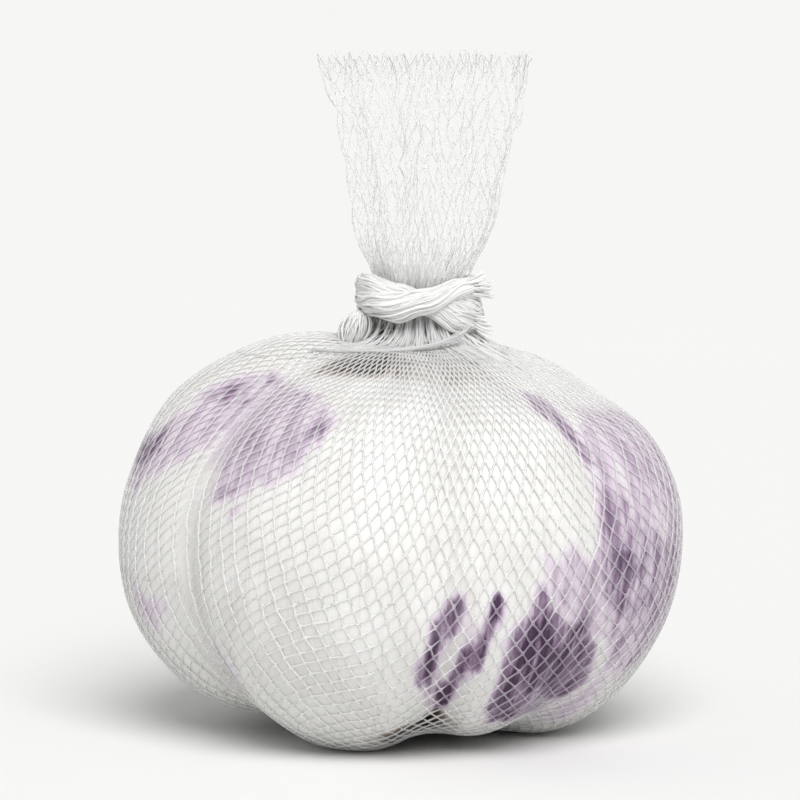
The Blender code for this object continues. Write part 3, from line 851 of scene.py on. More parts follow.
def make_skin(settings):
    """The bulb's skin, from the root hollow up to the cut stem: a fine ball drawn to
    the profile, with ribs and the edges of its papery layers."""
    columns, rows = SKIN_COLUMNS, SKIN_ROWS
    azimuths = np.arange(columns) * FULL_TURN / columns
    shares = np.linspace(0, 1, rows + 1)
    lines, outward = zip(*(bulb_profile(a, shares, settings.growth / MM) for a in azimuths))
    lines, outward = np.stack(lines), np.stack(outward)
    degrees = np.degrees(azimuths)[:, None] * np.ones(rows + 1)
    relief = wrinkles(azimuths, shares, settings.wrinkle_depth / MM)
    relief += layer_relief(degrees, lines[..., 1])
    lines = lines + relief[..., None] * outward
    underside = shares < 0.5
    lines[:, underside, 1] = np.maximum(lines[:, underside, 1], SKIN_FLOOR)
    points = lean(around(azimuths[:, None], lines[..., 0], lines[..., 1]))

    bm = bmesh.new()
    bmesh.ops.create_uvsphere(bm, u_segments=columns, v_segments=rows, radius=1)
    along_skin = bm.verts.layers.float_vector.new("along_skin")
    purple = bm.verts.layers.float.new("purple")
    # How brown the skin is painted: its dried stem and root, and painted shade in the hollows
    brown = bm.verts.layers.float.new("brown")
    stain = purple_share(degrees, shares[None, :] * np.ones_like(degrees))
    dry_and_shade = dry_and_shade_share(degrees, lines, shares)
    for vert in bm.verts:
        azimuth = azimuth_of(vert.co)
        row = round((1 - math.acos(max(-1.0, min(1.0, vert.co.z))) / math.pi) * rows)
        column = round(azimuth / FULL_TURN * columns) % columns
        vert.co = points[column, row]
        vert[along_skin] = (math.sin(azimuth), -math.cos(azimuth), row / rows * 3)
        vert[purple] = stain[column, row]
        vert[brown] = dry_and_shade[column, row]
    return mesh_object(bm, "bulb_skin", skin_material(settings))


def bell(degrees, middle, width):
    """1 at an azimuth in degrees, falling smoothly to 0 at both sides of it."""
    return np.exp(-((((degrees - middle + 180) % 360 - 180) / width) ** 2))


def dry_and_shade_share(degrees, lines, shares):
    """How brown the skin is painted: its own dried brown on the stem; painted shade in the hollow
    round the stem's foot, most of all just left of the front; and round the root and under the
    front foot, the root plate's dried brown deepened with painted shade."""
    radius = lines[..., 0]
    stem = 1 - ramp(radius, 7.5, 6.0)
    # Painted shade: the hollow between the shoulders and the stem's foot, seen through the net, is
    # painted dark brown
    hollow = 1.1 * bell(degrees, -22, 20) + 0.4 * bell(degrees, 20, 18)
    hollow = hollow * (1 - ramp(np.abs(radius - 15.5), 1.5, 4))
    top = np.where(shares > 0.5, 1.0, 0.0) * np.maximum(0.75 * stem, hollow)
    # Painted shade under the front foot, beside the root hollow
    foot = bell(degrees, 3, 12) * (1 - ramp(shares, 0.275, 0.025))[None, :]
    # The root plate's dried brown, deepened towards black with painted shade of the hollow
    root = np.where(shares < 0.5, 1.3, 0.0) * np.maximum(1 - ramp(radius, 9.0, 5.0), foot)
    return np.maximum(top, root)


def make_root(settings):
    """The root plate's dried roots: short bent stubs that hang in the hollow."""
    draw = np.random.default_rng(7)
    routes, halves = [], []
    for _ in range(ROOT_STUBS):
        azimuth = draw.uniform(0, FULL_TURN)
        start = ROOT_PLATE_RADIUS * math.sqrt(draw.uniform(0.02, 1))
        reach = draw.uniform(0.2, 1.9)
        drop = draw.uniform(1.2, 3.6)
        swing = draw.uniform(-0.35, 0.35)
        along = np.linspace(0, 1, 6)
        radius = start + reach * along**1.5
        height = ROOT_PLATE_HEIGHT - drop * along
        bend = azimuth + swing * along
        routes.append(around(bend, radius, height))
        halves.append(draw.uniform(0.14, 0.34) * (1 - 0.55 * along))
    return strands_object("bulb_roots", routes, halves, root_material(settings), 1)


# The net


def draped_sheet(growth, thread_half):
    """The net's middle surface on the bulb, as points [row, column, (radius, height)].

    Each column stays at its azimuth. Its points are pulled straight up and down
    and round the bulb, and are pushed back out of the skin and the ground.
    """
    turns = np.arange(DRAPE_COLUMNS) * FULL_TURN / DRAPE_COLUMNS
    shares = np.linspace(0, 1, PROFILE_POINTS)
    skin, outward = zip(*(bulb_profile(a, shares, growth) for a in turns))
    skin, outward = np.stack(skin), np.stack(outward)
    upward = np.linspace(0, 1, DRAPE_ROWS + 1)
    plain = smooth_through(CROWN_PROFILE[2:12], upward)
    plain[:, 0] += DRAPE_START_GAP
    plain[0] = (GATHER_RADIUS, thread_half)
    plain[-1] = (NECK_RADII[0][1], NECK_BOTTOM)
    sheet = np.repeat(plain[:, None], DRAPE_COLUMNS, axis=1)
    chord = math.cos(FULL_TURN / DRAPE_COLUMNS)
    for _ in range(DRAPE_ROUNDS):
        straight = (sheet[:-2] + sheet[2:]) / 2
        beside = (np.roll(sheet, 1, axis=1) + np.roll(sheet, -1, axis=1))[1:-1] / 2
        beside[..., 0] *= chord
        sheet[1:-1] = (1 - ROUND_PULL) * straight + ROUND_PULL * beside
        sheet = pushed_out(sheet, skin, outward, thread_half)
    return spaced_rows(sheet)


def pushed_out(sheet, skin, outward, thread_half):
    """The sheet with no point nearer the skin than its clearance, or under the ground."""
    inner = sheet[1:-1].transpose(1, 0, 2)
    apart = ((inner[:, :, None] - skin[:, None]) ** 2).sum(-1)
    nearest = apart.argmin(-1)[..., None]
    foot = np.take_along_axis(skin, nearest, axis=1)
    normal = np.take_along_axis(outward, nearest, axis=1)
    height = ((inner - foot) * normal).sum(-1, keepdims=True)
    inner = inner + normal * np.maximum(NET_CLEARANCE - height, 0)
    inner[..., 1] = np.maximum(inner[..., 1], thread_half)
    clear = sheet.copy()
    clear[1:-1] = inner.transpose(1, 0, 2)
    return clear


def spaced_rows(sheet):
    """The sheet with the points of each column spread along it as the meshes lie:
    they grow longer where the net is gathered, because their threads don't stretch."""
    spaced = sheet.copy()
    for column in range(sheet.shape[1]):
        line = sheet[:, column]
        middle = (line[1:] + line[:-1]) / 2
        width = FULL_TURN * middle[:, 0] / MESHES_AT_SIDE
        height = np.sqrt(np.maximum(MESH_DIAGONAL**2 - width**2, LEAST_MESH_HEIGHT**2))
        meshes = (np.linalg.norm(np.diff(line, axis=0), axis=1) / height).cumsum()
        meshes = np.concatenate([[0], meshes])
        at = np.linspace(0, meshes[-1], len(line))
        for axis in range(2):
            spaced[:, column, axis] = np.interp(at, meshes, line[:, axis])
    return spaced


@functools.lru_cache(maxsize=None)
def neck_outline(height):
    """The folded net of the neck and fan at a height: evenly spaced points round it."""
    turns = np.linspace(0, FULL_TURN, OUTLINE_POINTS)
    share = max(0.0, (height - NECK_TOP) / (FAN_TOP - NECK_TOP))
    wide, deep = read_off(FAN_HALF_WIDTHS, height), read_off(FAN_HALF_DEPTHS, height)
    if height < NECK_TOP:
        wide = deep = read_off(NECK_RADII, height)
    wander = 0.8 * np.sin(2 * turns + 1.1) + 0.5 * np.sin(5 * turns + 2.0 + share)
    folds = read_off(NECK_FOLD_DEPTHS, height) * np.sin(NECK_FOLDS * turns + wander)
    flat = 1 - 0.75 * share**0.5 * np.sin(turns) ** 4
    pleat_wave = np.sin(FAN_PLEATS * turns + 1.6 * wander + 0.8 * share)
    folds = folds + flat * read_off(FAN_PLEAT_DEPTHS, height) * pleat_wave
    across, outward_y = deep * np.sin(turns), -wide * np.cos(turns)
    size = np.hypot(across, outward_y)
    x = wide * np.sin(turns) + read_off(FAN_SHIFTS, height) + folds * across / size
    y = -deep * np.cos(turns) + folds * outward_y / size
    length = np.concatenate([[0], np.hypot(np.diff(x), np.diff(y)).cumsum()])
    return length / length[-1], x, y


def read_round(values, azimuth):
    """One of the tables of how the net is pulled, read smoothly all round the bulb."""
    degrees = (math.degrees(azimuth) + 180) % 360 - 180
    at = float(np.interp(degrees, PULL_AZIMUTHS, np.arange(len(PULL_AZIMUTHS))))
    span = min(int(at), len(values) - 1)
    t = at - span
    a, b, c, d = (values[(span + k) % len(values)] for k in (-1, 0, 1, 2))
    cubic = 3 * b - 3 * c + d - a
    square = 2 * a - 5 * b + 4 * c - d
    return 0.5 * (2 * b + (c - a) * t + square * t**2 + cubic * t**3)


def climbing(azimuth, up):
    """The azimuth that a wale of the net has reached, some share of the way up."""
    lower = read_round(LOWER_LEAN, azimuth) * (ramp(up, 0.08, 0.5) - 0.5)
    upper = read_round(UPPER_LEAN, azimuth) * (ramp(up, 0.42, 0.5) - 0.5)
    return azimuth + math.radians(lower + upper)


def lobe(up, low, high):
    """1 midway between two heights, and 0 at and past them."""
    share = min(max((up - low) / (high - low), 0), 1)
    return (4 * share * (1 - share)) ** 1.5


def net_point(sheet, azimuth, row, body, neck):
    """Where the net's middle surface lies, at an azimuth and so many meshes up."""
    if row <= body:
        up = row / body
        azimuth = climbing(azimuth, up)
        lower = read_round(LOWER_RISE, azimuth) * lobe(up, 0, 0.8)
        upper = read_round(UPPER_RISE, azimuth) * lobe(up, 0.2, 1)
        up = min(max(up + lower + upper, 0), 1) * DRAPE_ROWS
        column = azimuth / FULL_TURN * DRAPE_COLUMNS % DRAPE_COLUMNS
        left, low = int(column) % DRAPE_COLUMNS, min(int(up), DRAPE_ROWS - 1)
        right = (left + 1) % DRAPE_COLUMNS
        part = column - int(column)
        below = sheet[low, left] * (1 - part) + sheet[low, right] * part
        above = sheet[low + 1, left] * (1 - part) + sheet[low + 1, right] * part
        radius, height = below * (low + 1 - up) + above * (up - low)
        return around(azimuth, radius, height)
    height = NECK_BOTTOM + (NECK_NET_TOP - NECK_BOTTOM) * (row - body) / neck
    return gathered_point(climbing(azimuth, 1), height)


def gathered_point(azimuth, height):
    """A point of the folded neck or fan."""
    length, x, y = neck_outline(round(height, 3))
    at = azimuth / FULL_TURN % 1
    return np.array([np.interp(at, length, x), np.interp(at, length, y), height])


def diamond_tube(columns, rows):
    """A unit cylinder of diamonds: a plain grid is poked and its own edges dissolved."""
    bm = bmesh.new()
    spin_round(bm, standing_line(bm, [(0, -1, row) for row in range(rows + 1)]), columns)
    grid = [edge for edge in bm.edges if len(edge.link_faces) == 2]
    bmesh.ops.poke(bm, faces=bm.faces[:])
    bmesh.ops.dissolve_edges(bm, edges=grid)
    bm.normal_update()
    side = next(iter(bm.faces))
    if side.normal.xy.dot(side.calc_center_median().xy) < 0:
        bmesh.ops.reverse_faces(bm, faces=bm.faces[:])
    return bm


def open_meshes(bm, cells, thread_half):
    """Opens every cell: its face is inset, the inset ring is drawn in by the thread's
    half thickness, and the face inside it is taken out."""
    bmesh.ops.inset_individual(bm, faces=cells, thickness=0.0)
    for cell in cells:
        centre = cell.calc_center_median()
        sides = [loop.edge for loop in cell.loops]
        sides.sort(key=lambda side: side.calc_length(), reverse=True)
        sides = sides[:4]
        reach = 0.0
        for side in sides:
            start, end = (vert.co for vert in side.verts)
            along = (end - start).normalized()
            apart = centre - start
            reach += (apart - along * apart.dot(along)).length / len(sides)
        keep = max(LEAST_OPENING, 1 - thread_half / max(reach, 1e-6))
        for vert in cell.verts:
            vert.co = centre + (vert.co - centre) * keep
    bmesh.ops.delete(bm, geom=cells, context="FACES")


def thicken(bm, ridges, thread_half):
    """Gives the net its thickness: a second face is laid behind it, the knots and
    threads' middles are moved apart while the edges of the openings stay joined, and
    the two faces are bridged along the net's two ends."""
    bm.normal_update()
    outward = {vert: vert.normal.copy() for vert in ridges}
    rims = [edge for edge in bm.edges if edge.is_boundary]
    rims = [edge for edge in rims if all(vert in outward for vert in edge.verts)]
    made = bmesh.ops.duplicate(bm, geom=bm.faces[:])
    behind = [face for face in made["geom"] if isinstance(face, BMFace)]
    bmesh.ops.reverse_faces(bm, faces=behind)
    for new, old in made["vert_map"].items():
        if isinstance(old, BMVert) and old in outward:
            new.co -= outward[old] * thread_half
    for vert, normal in outward.items():
        vert.co += normal * thread_half
    middle = sum(edge.verts[0].co.z for edge in rims) / len(rims)
    for end in (1, -1):
        rim = [edge for edge in rims if (edge.verts[0].co.z - middle) * end > 0]
        bmesh.ops.bridge_loops(bm, edges=rim + [made["edge_map"][edge] for edge in rim])
    bmesh.ops.remove_doubles(bm, verts=bm.verts[:], dist=1e-5)


def knotted_net(columns, rows, place, half, low_end, high_end):
    """A tube of net as a bmesh: its knots are put in place, its cells are opened and
    its threads are given their thickness. The half cells at an end are taken out, as
    at a cut edge, or kept with a hem thread."""
    bm = diamond_tube(columns, rows)
    cut = []
    for face in bm.faces:
        rim = [edge for edge in face.edges if edge.is_boundary]
        hemmed = low_end if face.calc_center_median().z < rows / 2 else high_end
        if rim and not hemmed:
            cut.append(face)
    bmesh.ops.delete(bm, geom=cut, context="FACES")
    for vert in bm.verts:
        vert.co = place(azimuth_of(vert.co), vert.co.z)
    inner = [vert for vert in bm.verts if not vert.is_boundary]
    made = bmesh.ops.bevel(
        bm,
        geom=inner,
        offset=KNOT_SHARE,
        offset_type="PERCENT",
        affect="VERTICES",
        segments=1,
        profile=0.5,
        material=-1,
        clamp_overlap=False,
    )
    knots = set(made["faces"])
    cells = [face for face in bm.faces if face not in knots]
    ridges = list(bm.verts)
    open_meshes(bm, cells, half)
    thicken(bm, ridges, half)
    for vert in bm.verts:
        vert.co = lean(vert.co)
    bmesh.ops.recalc_face_normals(bm, faces=bm.faces[:])
    return bm


def take_painted_skin_light(net, skin):
    """Gives every point of the net how purple the nearest skin is, for the painted purple light on the
    thread.
    """
    stains = skin.data.attributes["purple"].data
    finder = KDTree(len(stains))
    for vert in skin.data.vertices:
        finder.insert(vert.co / MM, vert.index)
    finder.balance()
    purple = net.verts.layers.float.new("purple")
    for vert in net.verts:
        vert[purple] = stains[finder.find(vert.co)[1]].value


def body_net(settings, sheet, half):
    """The net from its gathered foot, over the bulb, to the neck inside the tie."""
    draw = np.random.default_rng(12)
    body, neck = settings.body_meshes, settings.neck_meshes
    spacing = FULL_TURN / settings.meshes_round

    def place(azimuth, row):
        """Where a knot of the net lies, a little astray."""
        azimuth = azimuth + spacing * draw.normal(0, BODY_KNOT_STRAY)
        return net_point(sheet, azimuth, row, body, neck)

    return knotted_net(settings.meshes_round, body + neck, place, half, True, False)


def fan_net(settings, half):
    """The net above the tie, which opens into a flat pleated fan."""
    draw = np.random.default_rng(15)
    rows = settings.fan_meshes
    spacing = FULL_TURN / settings.fan_meshes_round

    def place(azimuth, row):
        """Where a knot of the fan lies, the more astray the higher it is."""
        up = row / rows
        azimuth = azimuth + spacing * draw.normal(0, FAN_KNOT_STRAY)
        point = gathered_point(azimuth, FAN_BOTTOM + (FAN_TOP - FAN_BOTTOM) * up)
        return point + draw.normal(0, FAN_KNOT_SHIFT, 3) * ramp(up, 0.1, 0.5)

    return knotted_net(settings.fan_meshes_round, rows, place, half, False, False)


def fan_fibres(settings):
    """Fine fibres of the fan: dense where it leaves the tie, most in the middle of the
    front, and loose cut ends along the top edge."""
    draw = np.random.default_rng(21)
    half = settings.fan_thread / MM / 2
    routes, halves = [], []
    share = np.linspace(0, 1, FAN_FIBRE_POINTS)
    for number in range(FAN_FIBRES):
        azimuth = number * FULL_TURN / FAN_FIBRES + draw.normal(0, 0.03)
        degrees = (math.degrees(azimuth) + 192) % 360 - 180
        middle = math.exp(-((degrees / 30) ** 2))
        right = math.exp(-(((degrees - 80) / 35) ** 2))
        top = draw.uniform(53.2, 57.0) - 1.6 * right + 9 * middle * draw.uniform() ** 2
        depth = draw.uniform(0.8, 1.0)
        heights = np.linspace(FAN_BOTTOM, top, FAN_FIBRE_POINTS)
        turns = azimuth + draw.normal(0, 0.05) * share
        points = [gathered_point(turn, height) for turn, height in zip(turns, heights)]
        routes.append(lean(np.array(points) * (depth, depth, 1)))
        halves.append(draw.uniform(0.9, 1.5) * half * (1 - 0.5 * share))
    for number in range(settings.fan_meshes_round * 2):
        azimuth = (number + draw.uniform(-0.4, 0.4)) * FULL_TURN / settings.fan_meshes_round / 2
        start = gathered_point(azimuth, FAN_TOP - draw.uniform(1.0, 3.4))
        share = np.linspace(0, 1, 5)[:, None]
        reach = np.array([draw.normal(0, 0.5), draw.normal(0, 0.5), draw.uniform(0.8, 3.6)])
        curl = np.array([draw.normal(0, 0.3), draw.normal(0, 0.3), 0])
        points = start + reach * share + curl * share**2
        points[:, 2] = np.minimum(points[:, 2], FAN_TOP + 0.5)
        routes.append(lean(points))
        halves.append(0.85 * half * (1 - 0.4 * share[:, 0]))
    return routes, halves


def neck_folds(settings, sheet):
    """Folds of the gathered net, which run along its wales over the shoulders and up
    to the tie, and start further down at the right of the front."""
    draw = np.random.default_rng(18)
    body, neck = settings.body_meshes, settings.neck_meshes
    routes, halves = [], []
    for number in range(SHOULDER_FOLDS):
        azimuth = number * FULL_TURN / SHOULDER_FOLDS + draw.normal(0, 0.012)
        degrees = (math.degrees(azimuth) + 180) % 360 - 180
        right = math.exp(-(((degrees - 52) / 32) ** 2))
        start = body - draw.uniform(0.4, 1.6) - right * draw.uniform(0.0, 4.5)
        rows = np.linspace(start, body + 0.72 * neck, 18)
        turns = azimuth + draw.normal(0, 0.03) * (rows - body)
        points = [net_point(sheet, turn, row, body, neck) for turn, row in zip(turns, rows)]
        points = np.array(points)
        outward = points[:, :2] / np.linalg.norm(points[:, :2], axis=1, keepdims=True)
        lift = draw.uniform(0.03, 0.22)
        points[:, :2] += outward * lift * ramp(rows, start, 3)[:, None]
        points[:, 2] += 0.1 * ramp(rows, start, 1.5)
        routes.append(lean(points))
        halves.append(draw.uniform(0.1, 0.18) * (0.35 + 0.65 * ramp(rows, start, 2.5)))
    return routes, halves


def gather_core():
    """The solid middle of the gathered neck, turned from its profile and pleated."""
    bm = bmesh.new()
    profile = smooth_through(GATHER_PROFILE, np.linspace(0, 1, GATHER_POINTS))
    line = standing_line(bm, [(0, -radius, height) for radius, height in profile])
    spin_round(bm, line, GATHER_COLUMNS)
    bmesh.ops.remove_doubles(bm, verts=bm.verts[:], dist=1e-4)
    for vert in bm.verts:
        fold = 1 + 0.06 * math.sin(NECK_FOLDS * azimuth_of(vert.co))
        vert.co = lean((vert.co.x * fold, vert.co.y * fold, vert.co.z))
    bmesh.ops.recalc_face_normals(bm, faces=bm.faces[:])
    return bm


def cut_between(whole, low, high):
    """A copy of the net between two heights, with its cut threads closed."""
    bm = whole.copy()
    for height, direction in ((low, -1), (high, 1)):
        if height is None:
            continue
        bmesh.ops.bisect_plane(
            bm,
            geom=bm.verts[:] + bm.edges[:] + bm.faces[:],
            plane_co=(0, 0, height),
            plane_no=(0, 0, direction),
            clear_outer=True,
        )
        bmesh.ops.holes_fill(bm, edges=[edge for edge in bm.edges if edge.is_boundary], sides=0)
    return bm


# Property groups


class StageSettings(bpy.types.PropertyGroup):
    """The floor, the light and the camera."""

    floor_colour: bpy.props.FloatVectorProperty(
        name="Floor", description="Colour of the floor", subtype="COLOR", default=(0.83, 0.83, 0.82)
    )
    sky: bpy.props.FloatProperty(
        name="Sky", description="Strength of the even light from all round", default=0.52
    )
    sun: bpy.props.FloatProperty(
        name="Sun", description="Strength of the soft light from above in front", default=2.62
    )
    elevation: bpy.props.FloatProperty(
        name="Elevation",
        description="How far above the horizon the camera stands",
        subtype="ANGLE",
        default=math.radians(6.0),
    )
    distance: bpy.props.FloatProperty(
        name="Distance",
        description="From the camera to the point it looks at",
        unit="LENGTH",
        default=0.514,
    )
    lens: bpy.props.FloatProperty(
        name="Lens", description="Focal length", unit="CAMERA", default=200.0
    )


class BulbSettings(bpy.types.PropertyGroup):
    """The skin and roots."""

    growth: bpy.props.FloatProperty(
        name="Growth",
        description="How far the skin lies outside the plain solid",
        unit="LENGTH",
        default=0.00075,
    )
    wrinkle_depth: bpy.props.FloatProperty(
        name="Wrinkles", description="Depth of the skin's ribs", unit="LENGTH", default=0.00007
    )
    skin_colour: bpy.props.FloatVectorProperty(
        name="Skin", description="White of the skin", subtype="COLOR", default=(0.80, 0.793, 0.772)
    )
    skin_shade: bpy.props.FloatVectorProperty(
        name="Shade",
        description="Duller white of the skin",
        subtype="COLOR",
        default=(0.72, 0.71, 0.68),
    )
    vein_colour: bpy.props.FloatVectorProperty(
        name="Veins",
        description="Tint of the fine veins",
        subtype="COLOR",
        default=(0.80, 0.76, 0.72),
    )
    lavender: bpy.props.FloatVectorProperty(
        name="Lavender", description="Palest purple", subtype="COLOR", default=(0.67, 0.58, 0.67)
    )
    purple: bpy.props.FloatVectorProperty(
        name="Purple", description="Middle purple", subtype="COLOR", default=(0.29, 0.20, 0.30)
    )
    deep_purple: bpy.props.FloatVectorProperty(
        name="Deep purple",
        description="Darkest purple",
        subtype="COLOR",
        default=(0.062, 0.028, 0.065),
    )
    # Darkest brown: the dried root's own brown deepened to near black with painted shade of the root
    # hollow; the skin's painted shade in its hollows ends in it too
    root_and_shade_colour: bpy.props.FloatVectorProperty(
        name="Root", description="Darkest brown", subtype="COLOR", default=(0.035, 0.022, 0.015)
    )


class NetSettings(bpy.types.PropertyGroup):
    """The net bag."""

    meshes_round: bpy.props.IntProperty(
        name="Round", description="Meshes round the bag", default=98
    )
    body_meshes: bpy.props.IntProperty(
        name="Body", description="Meshes up the body", default=33
    )
    neck_meshes: bpy.props.IntProperty(
        name="Neck", description="Meshes up the neck", default=4
    )
    thread: bpy.props.FloatProperty(
        name="Thread", description="Thickness of the thread", unit="LENGTH", default=0.00024
    )
    fan_meshes_round: bpy.props.IntProperty(
        name="Fan round", description="Meshes round the fan", default=53
    )
    fan_meshes: bpy.props.IntProperty(name="Fan", description="Meshes up the fan", default=9)
    fan_thread: bpy.props.FloatProperty(
        name="Fan thread",
        description="Thickness of the fan's thread",
        unit="LENGTH",
        default=0.00011,
    )
    colour: bpy.props.FloatVectorProperty(
        name="Colour", description="White of the net", subtype="COLOR", default=(0.93, 0.93, 0.925)
    )
    # Painted light: the fan is the same net as on the bulb, given a lighter white to make up for the
    # shade among its threads
    fan_lit_colour: bpy.props.FloatVectorProperty(
        name="Fan colour",
        description="White of the fan",
        subtype="COLOR",
        default=(0.97, 0.97, 0.965),
    )


class TieSettings(bpy.types.PropertyGroup):
    """The tie round the neck."""

    fibres: bpy.props.IntProperty(name="Fibres", description="Fibres in each turn", default=64)
    fibre: bpy.props.FloatProperty(
        name="Fibre", description="Thickness of a fibre", unit="LENGTH", default=0.00026
    )
    colour: bpy.props.FloatVectorProperty(
        name="Colour", description="White of the tie", subtype="COLOR", default=(0.94, 0.94, 0.93)
    )


class GarlicSettings(bpy.types.PropertyGroup):
    """All the settings of the garlic bulb."""

    stage: bpy.props.PointerProperty(type=StageSettings)
    bulb: bpy.props.PointerProperty(type=BulbSettings)
    net: bpy.props.PointerProperty(type=NetSettings)
    tie: bpy.props.PointerProperty(type=TieSettings)


# The tie


def eased(at, places, values):
    """A value between two places, without a kink at either."""
    low = min(max(int(np.searchsorted(places, at, "right")) - 1, 0), len(places) - 2)
    share = (at - places[low]) / (places[low + 1] - places[low])
    share = share * share * (3 - 2 * share)
    return values[low] + share * (values[low + 1] - values[low])


def turn_at(stations, azimuth):
    """Outer radius, height and half height of one turn of the tie at an azimuth."""
    first = stations[0]
    route = np.array([*stations, (first[0] + 360, *first[1:])], float)
    at = (math.degrees(azimuth) - first[0]) % 360 + first[0]
    return [eased(at, route[:, 0], route[:, k]) for k in (1, 2, 3)]


def turn_fibre(stations, draw, twist):
    """One fibre of a turn: it stays at its own place in the bundle, which twists."""
    azimuths = np.linspace(-math.pi, math.pi, TURN_POINTS)
    corner = draw.uniform(0, FULL_TURN)
    depth = TURN_SPREAD * (1 - 0.22 * draw.uniform() ** 2)
    waves = []
    for _ in range(3):
        count = draw.integers(2, 7)
        phase = draw.uniform(0, FULL_TURN)
        waves.append((count, phase, draw.uniform(0.04, 0.16)))
    route = []
    for azimuth in azimuths:
        outer, height, tall = turn_at(stations, azimuth)
        thick = (outer - TIE_INNER_RADIUS) / 2
        wander = sum(size * math.sin(count * azimuth + phase) for count, phase, size in waves)
        angle = corner + twist * azimuth + wander
        radius = outer - thick + thick * depth * math.cos(angle)
        route.append(around(azimuth, radius, height + tall * depth * math.sin(angle)))
    return lean(np.array(route))


def turn_core(stations):
    """The middle of a turn's bundle, a ring that fills it behind the fibres."""
    bm = bmesh.new()
    ring = bmesh.ops.create_circle(bm, cap_ends=False, segments=CORE_SIDES, radius=1)["verts"]
    for vert in ring:
        vert.co = (0, -CORE_SKETCH_RADIUS - vert.co.x, vert.co.y)
    spin_round(bm, ring + bm.edges[:], CORE_COLUMNS)
    for vert in bm.verts:
        azimuth = azimuth_of(vert.co)
        across, up = vert.co.xy.length - CORE_SKETCH_RADIUS, vert.co.z
        outer, height, tall = turn_at(stations, azimuth)
        thick = (outer - TIE_INNER_RADIUS) / 2
        radius = outer - thick + CORE_SHARE * thick * across
        vert.co = lean(around(azimuth, radius, height + CORE_SHARE * tall * up))
    bmesh.ops.recalc_face_normals(bm, faces=bm.faces[:])
    return bm


def tuft_fibres(draw, fibre_half):
    """Fibres of the tuft, each an arc from the egg's top round its side to its foot."""
    routes, sizes = [], []
    for _ in range(TUFT_FIBRES):
        azimuth = draw.uniform(0, FULL_TURN)
        size = draw.uniform(0.55, 1.0) if draw.uniform() < 0.9 else draw.uniform(1.0, 1.25)
        start, end = draw.uniform(0.05, 0.3), draw.uniform(0.75, 1.0)
        tilt = np.linspace(start, end, TUFT_POINTS) * math.pi
        swing = azimuth + draw.uniform(-0.9, 0.9) * np.linspace(-0.5, 0.5, TUFT_POINTS)
        flat = np.sin(tilt) * size
        ball = np.stack([flat * np.sin(swing), -flat * np.cos(swing), np.cos(tilt)], 1)
        points = np.array(TUFT_MIDDLE) + ball * TUFT_SIZE
        points[:, 0] += 0.5 * np.cos(tilt)
        routes.append(lean(points))
        sizes.append(draw.uniform(0.45, 0.8) * fibre_half)
    return routes, sizes


def bundle(route, halves, count, draw, fibre_half, splay=0.0, twist=1.2):
    """Fibres along a short route, spread over its section, which may splay at its tip."""
    route, halves = np.asarray(route), np.asarray(halves)
    along = np.gradient(route, axis=0)
    along /= np.linalg.norm(along, axis=1, keepdims=True)
    side = np.cross(along, (0.2, -0.9, 0.3))
    side /= np.linalg.norm(side, axis=1, keepdims=True)
    other = np.cross(along, side)
    index = np.arange(len(route))
    routes, sizes = [], []
    for _ in range(count):
        angle = draw.uniform(0, FULL_TURN)
        turn = twist * draw.uniform(0.6, 1.0)
        depth = math.sqrt(draw.uniform(0.15, 1))
        reach = draw.uniform(0.78, 1.0)
        share = np.linspace(0, reach, 12)
        at = share * (len(route) - 1)
        centre, s, o = (
            np.stack([np.interp(at, index, part[:, axis]) for axis in range(3)], 1)
            for part in (route, side, other)
        )
        wide = np.interp(at, index, halves) * depth * (1 + splay * share**3)
        bend = angle + turn * share
        around_it = s * (wide * np.cos(bend))[:, None] + o * (wide * np.sin(bend))[:, None]
        routes.append(lean(centre + around_it))
        sizes.append(fibre_half * np.interp(share / reach, (0, 0.85, 1), (1, 0.9, 0.35)))
    return routes, sizes


# Operators


class GARLIC_OT_stage(bpy.types.Operator):
    """Make the floor, the light and the camera"""

    bl_idname = "garlic.stage"
    bl_label = "Stage"
    bl_options = {"REGISTER", "UNDO"}

    def execute(self, context):
        stage = context.scene.garlic.stage
        bm = bmesh.new()
        bmesh.ops.create_circle(bm, cap_ends=True, segments=96, radius=FLOOR_RADIUS / MM)
        floor = mesh_object(bm, "floor", floor_material(stage))

        world = bpy.data.worlds.new("studio")
        world.use_nodes = True
        world.node_tree.nodes["Background"].inputs["Color"].default_value = (1, 1, 1, 1)
        world.node_tree.nodes["Background"].inputs["Strength"].default_value = stage.sky
        context.scene.world = world

        sun = bpy.data.lights.new("overhead", "SUN")
        sun.energy = stage.sun
        sun.angle = SUN_SPREAD
        lamp = bpy.data.objects.new("overhead", sun)
        lamp.rotation_euler = SUN_TURN
        context.scene.collection.objects.link(lamp)

        camera = bpy.data.objects.new("camera", bpy.data.cameras.new("camera"))
        camera.data.lens = stage.lens
        camera.data.sensor_width = SENSOR_WIDTH
        camera.data.clip_start = NEAREST_SEEN
        camera.data.clip_end = FURTHEST_SEEN
        target = Vector(LOOK_AT)
        back = Vector((0, -math.cos(stage.elevation), math.sin(stage.elevation)))
        camera.location = target + back * stage.distance
        camera.rotation_euler = (-back).to_track_quat("-Z", "Y").to_euler()
        context.scene.collection.objects.link(camera)
        context.scene.camera = camera
        context.scene.view_settings.view_transform = "Standard"
        return {"FINISHED"}


class GARLIC_OT_bulb(bpy.types.Operator):
    """Make the bulb's skin and its dried roots"""

    bl_idname = "garlic.bulb"
    bl_label = "Bulb"
    bl_options = {"REGISTER", "UNDO"}

    def execute(self, context):
        bulb = context.scene.garlic.bulb
        settle(make_skin(bulb), "garlic_bulb")
        settle(make_root(bulb), "garlic_bulb")
        return {"FINISHED"}


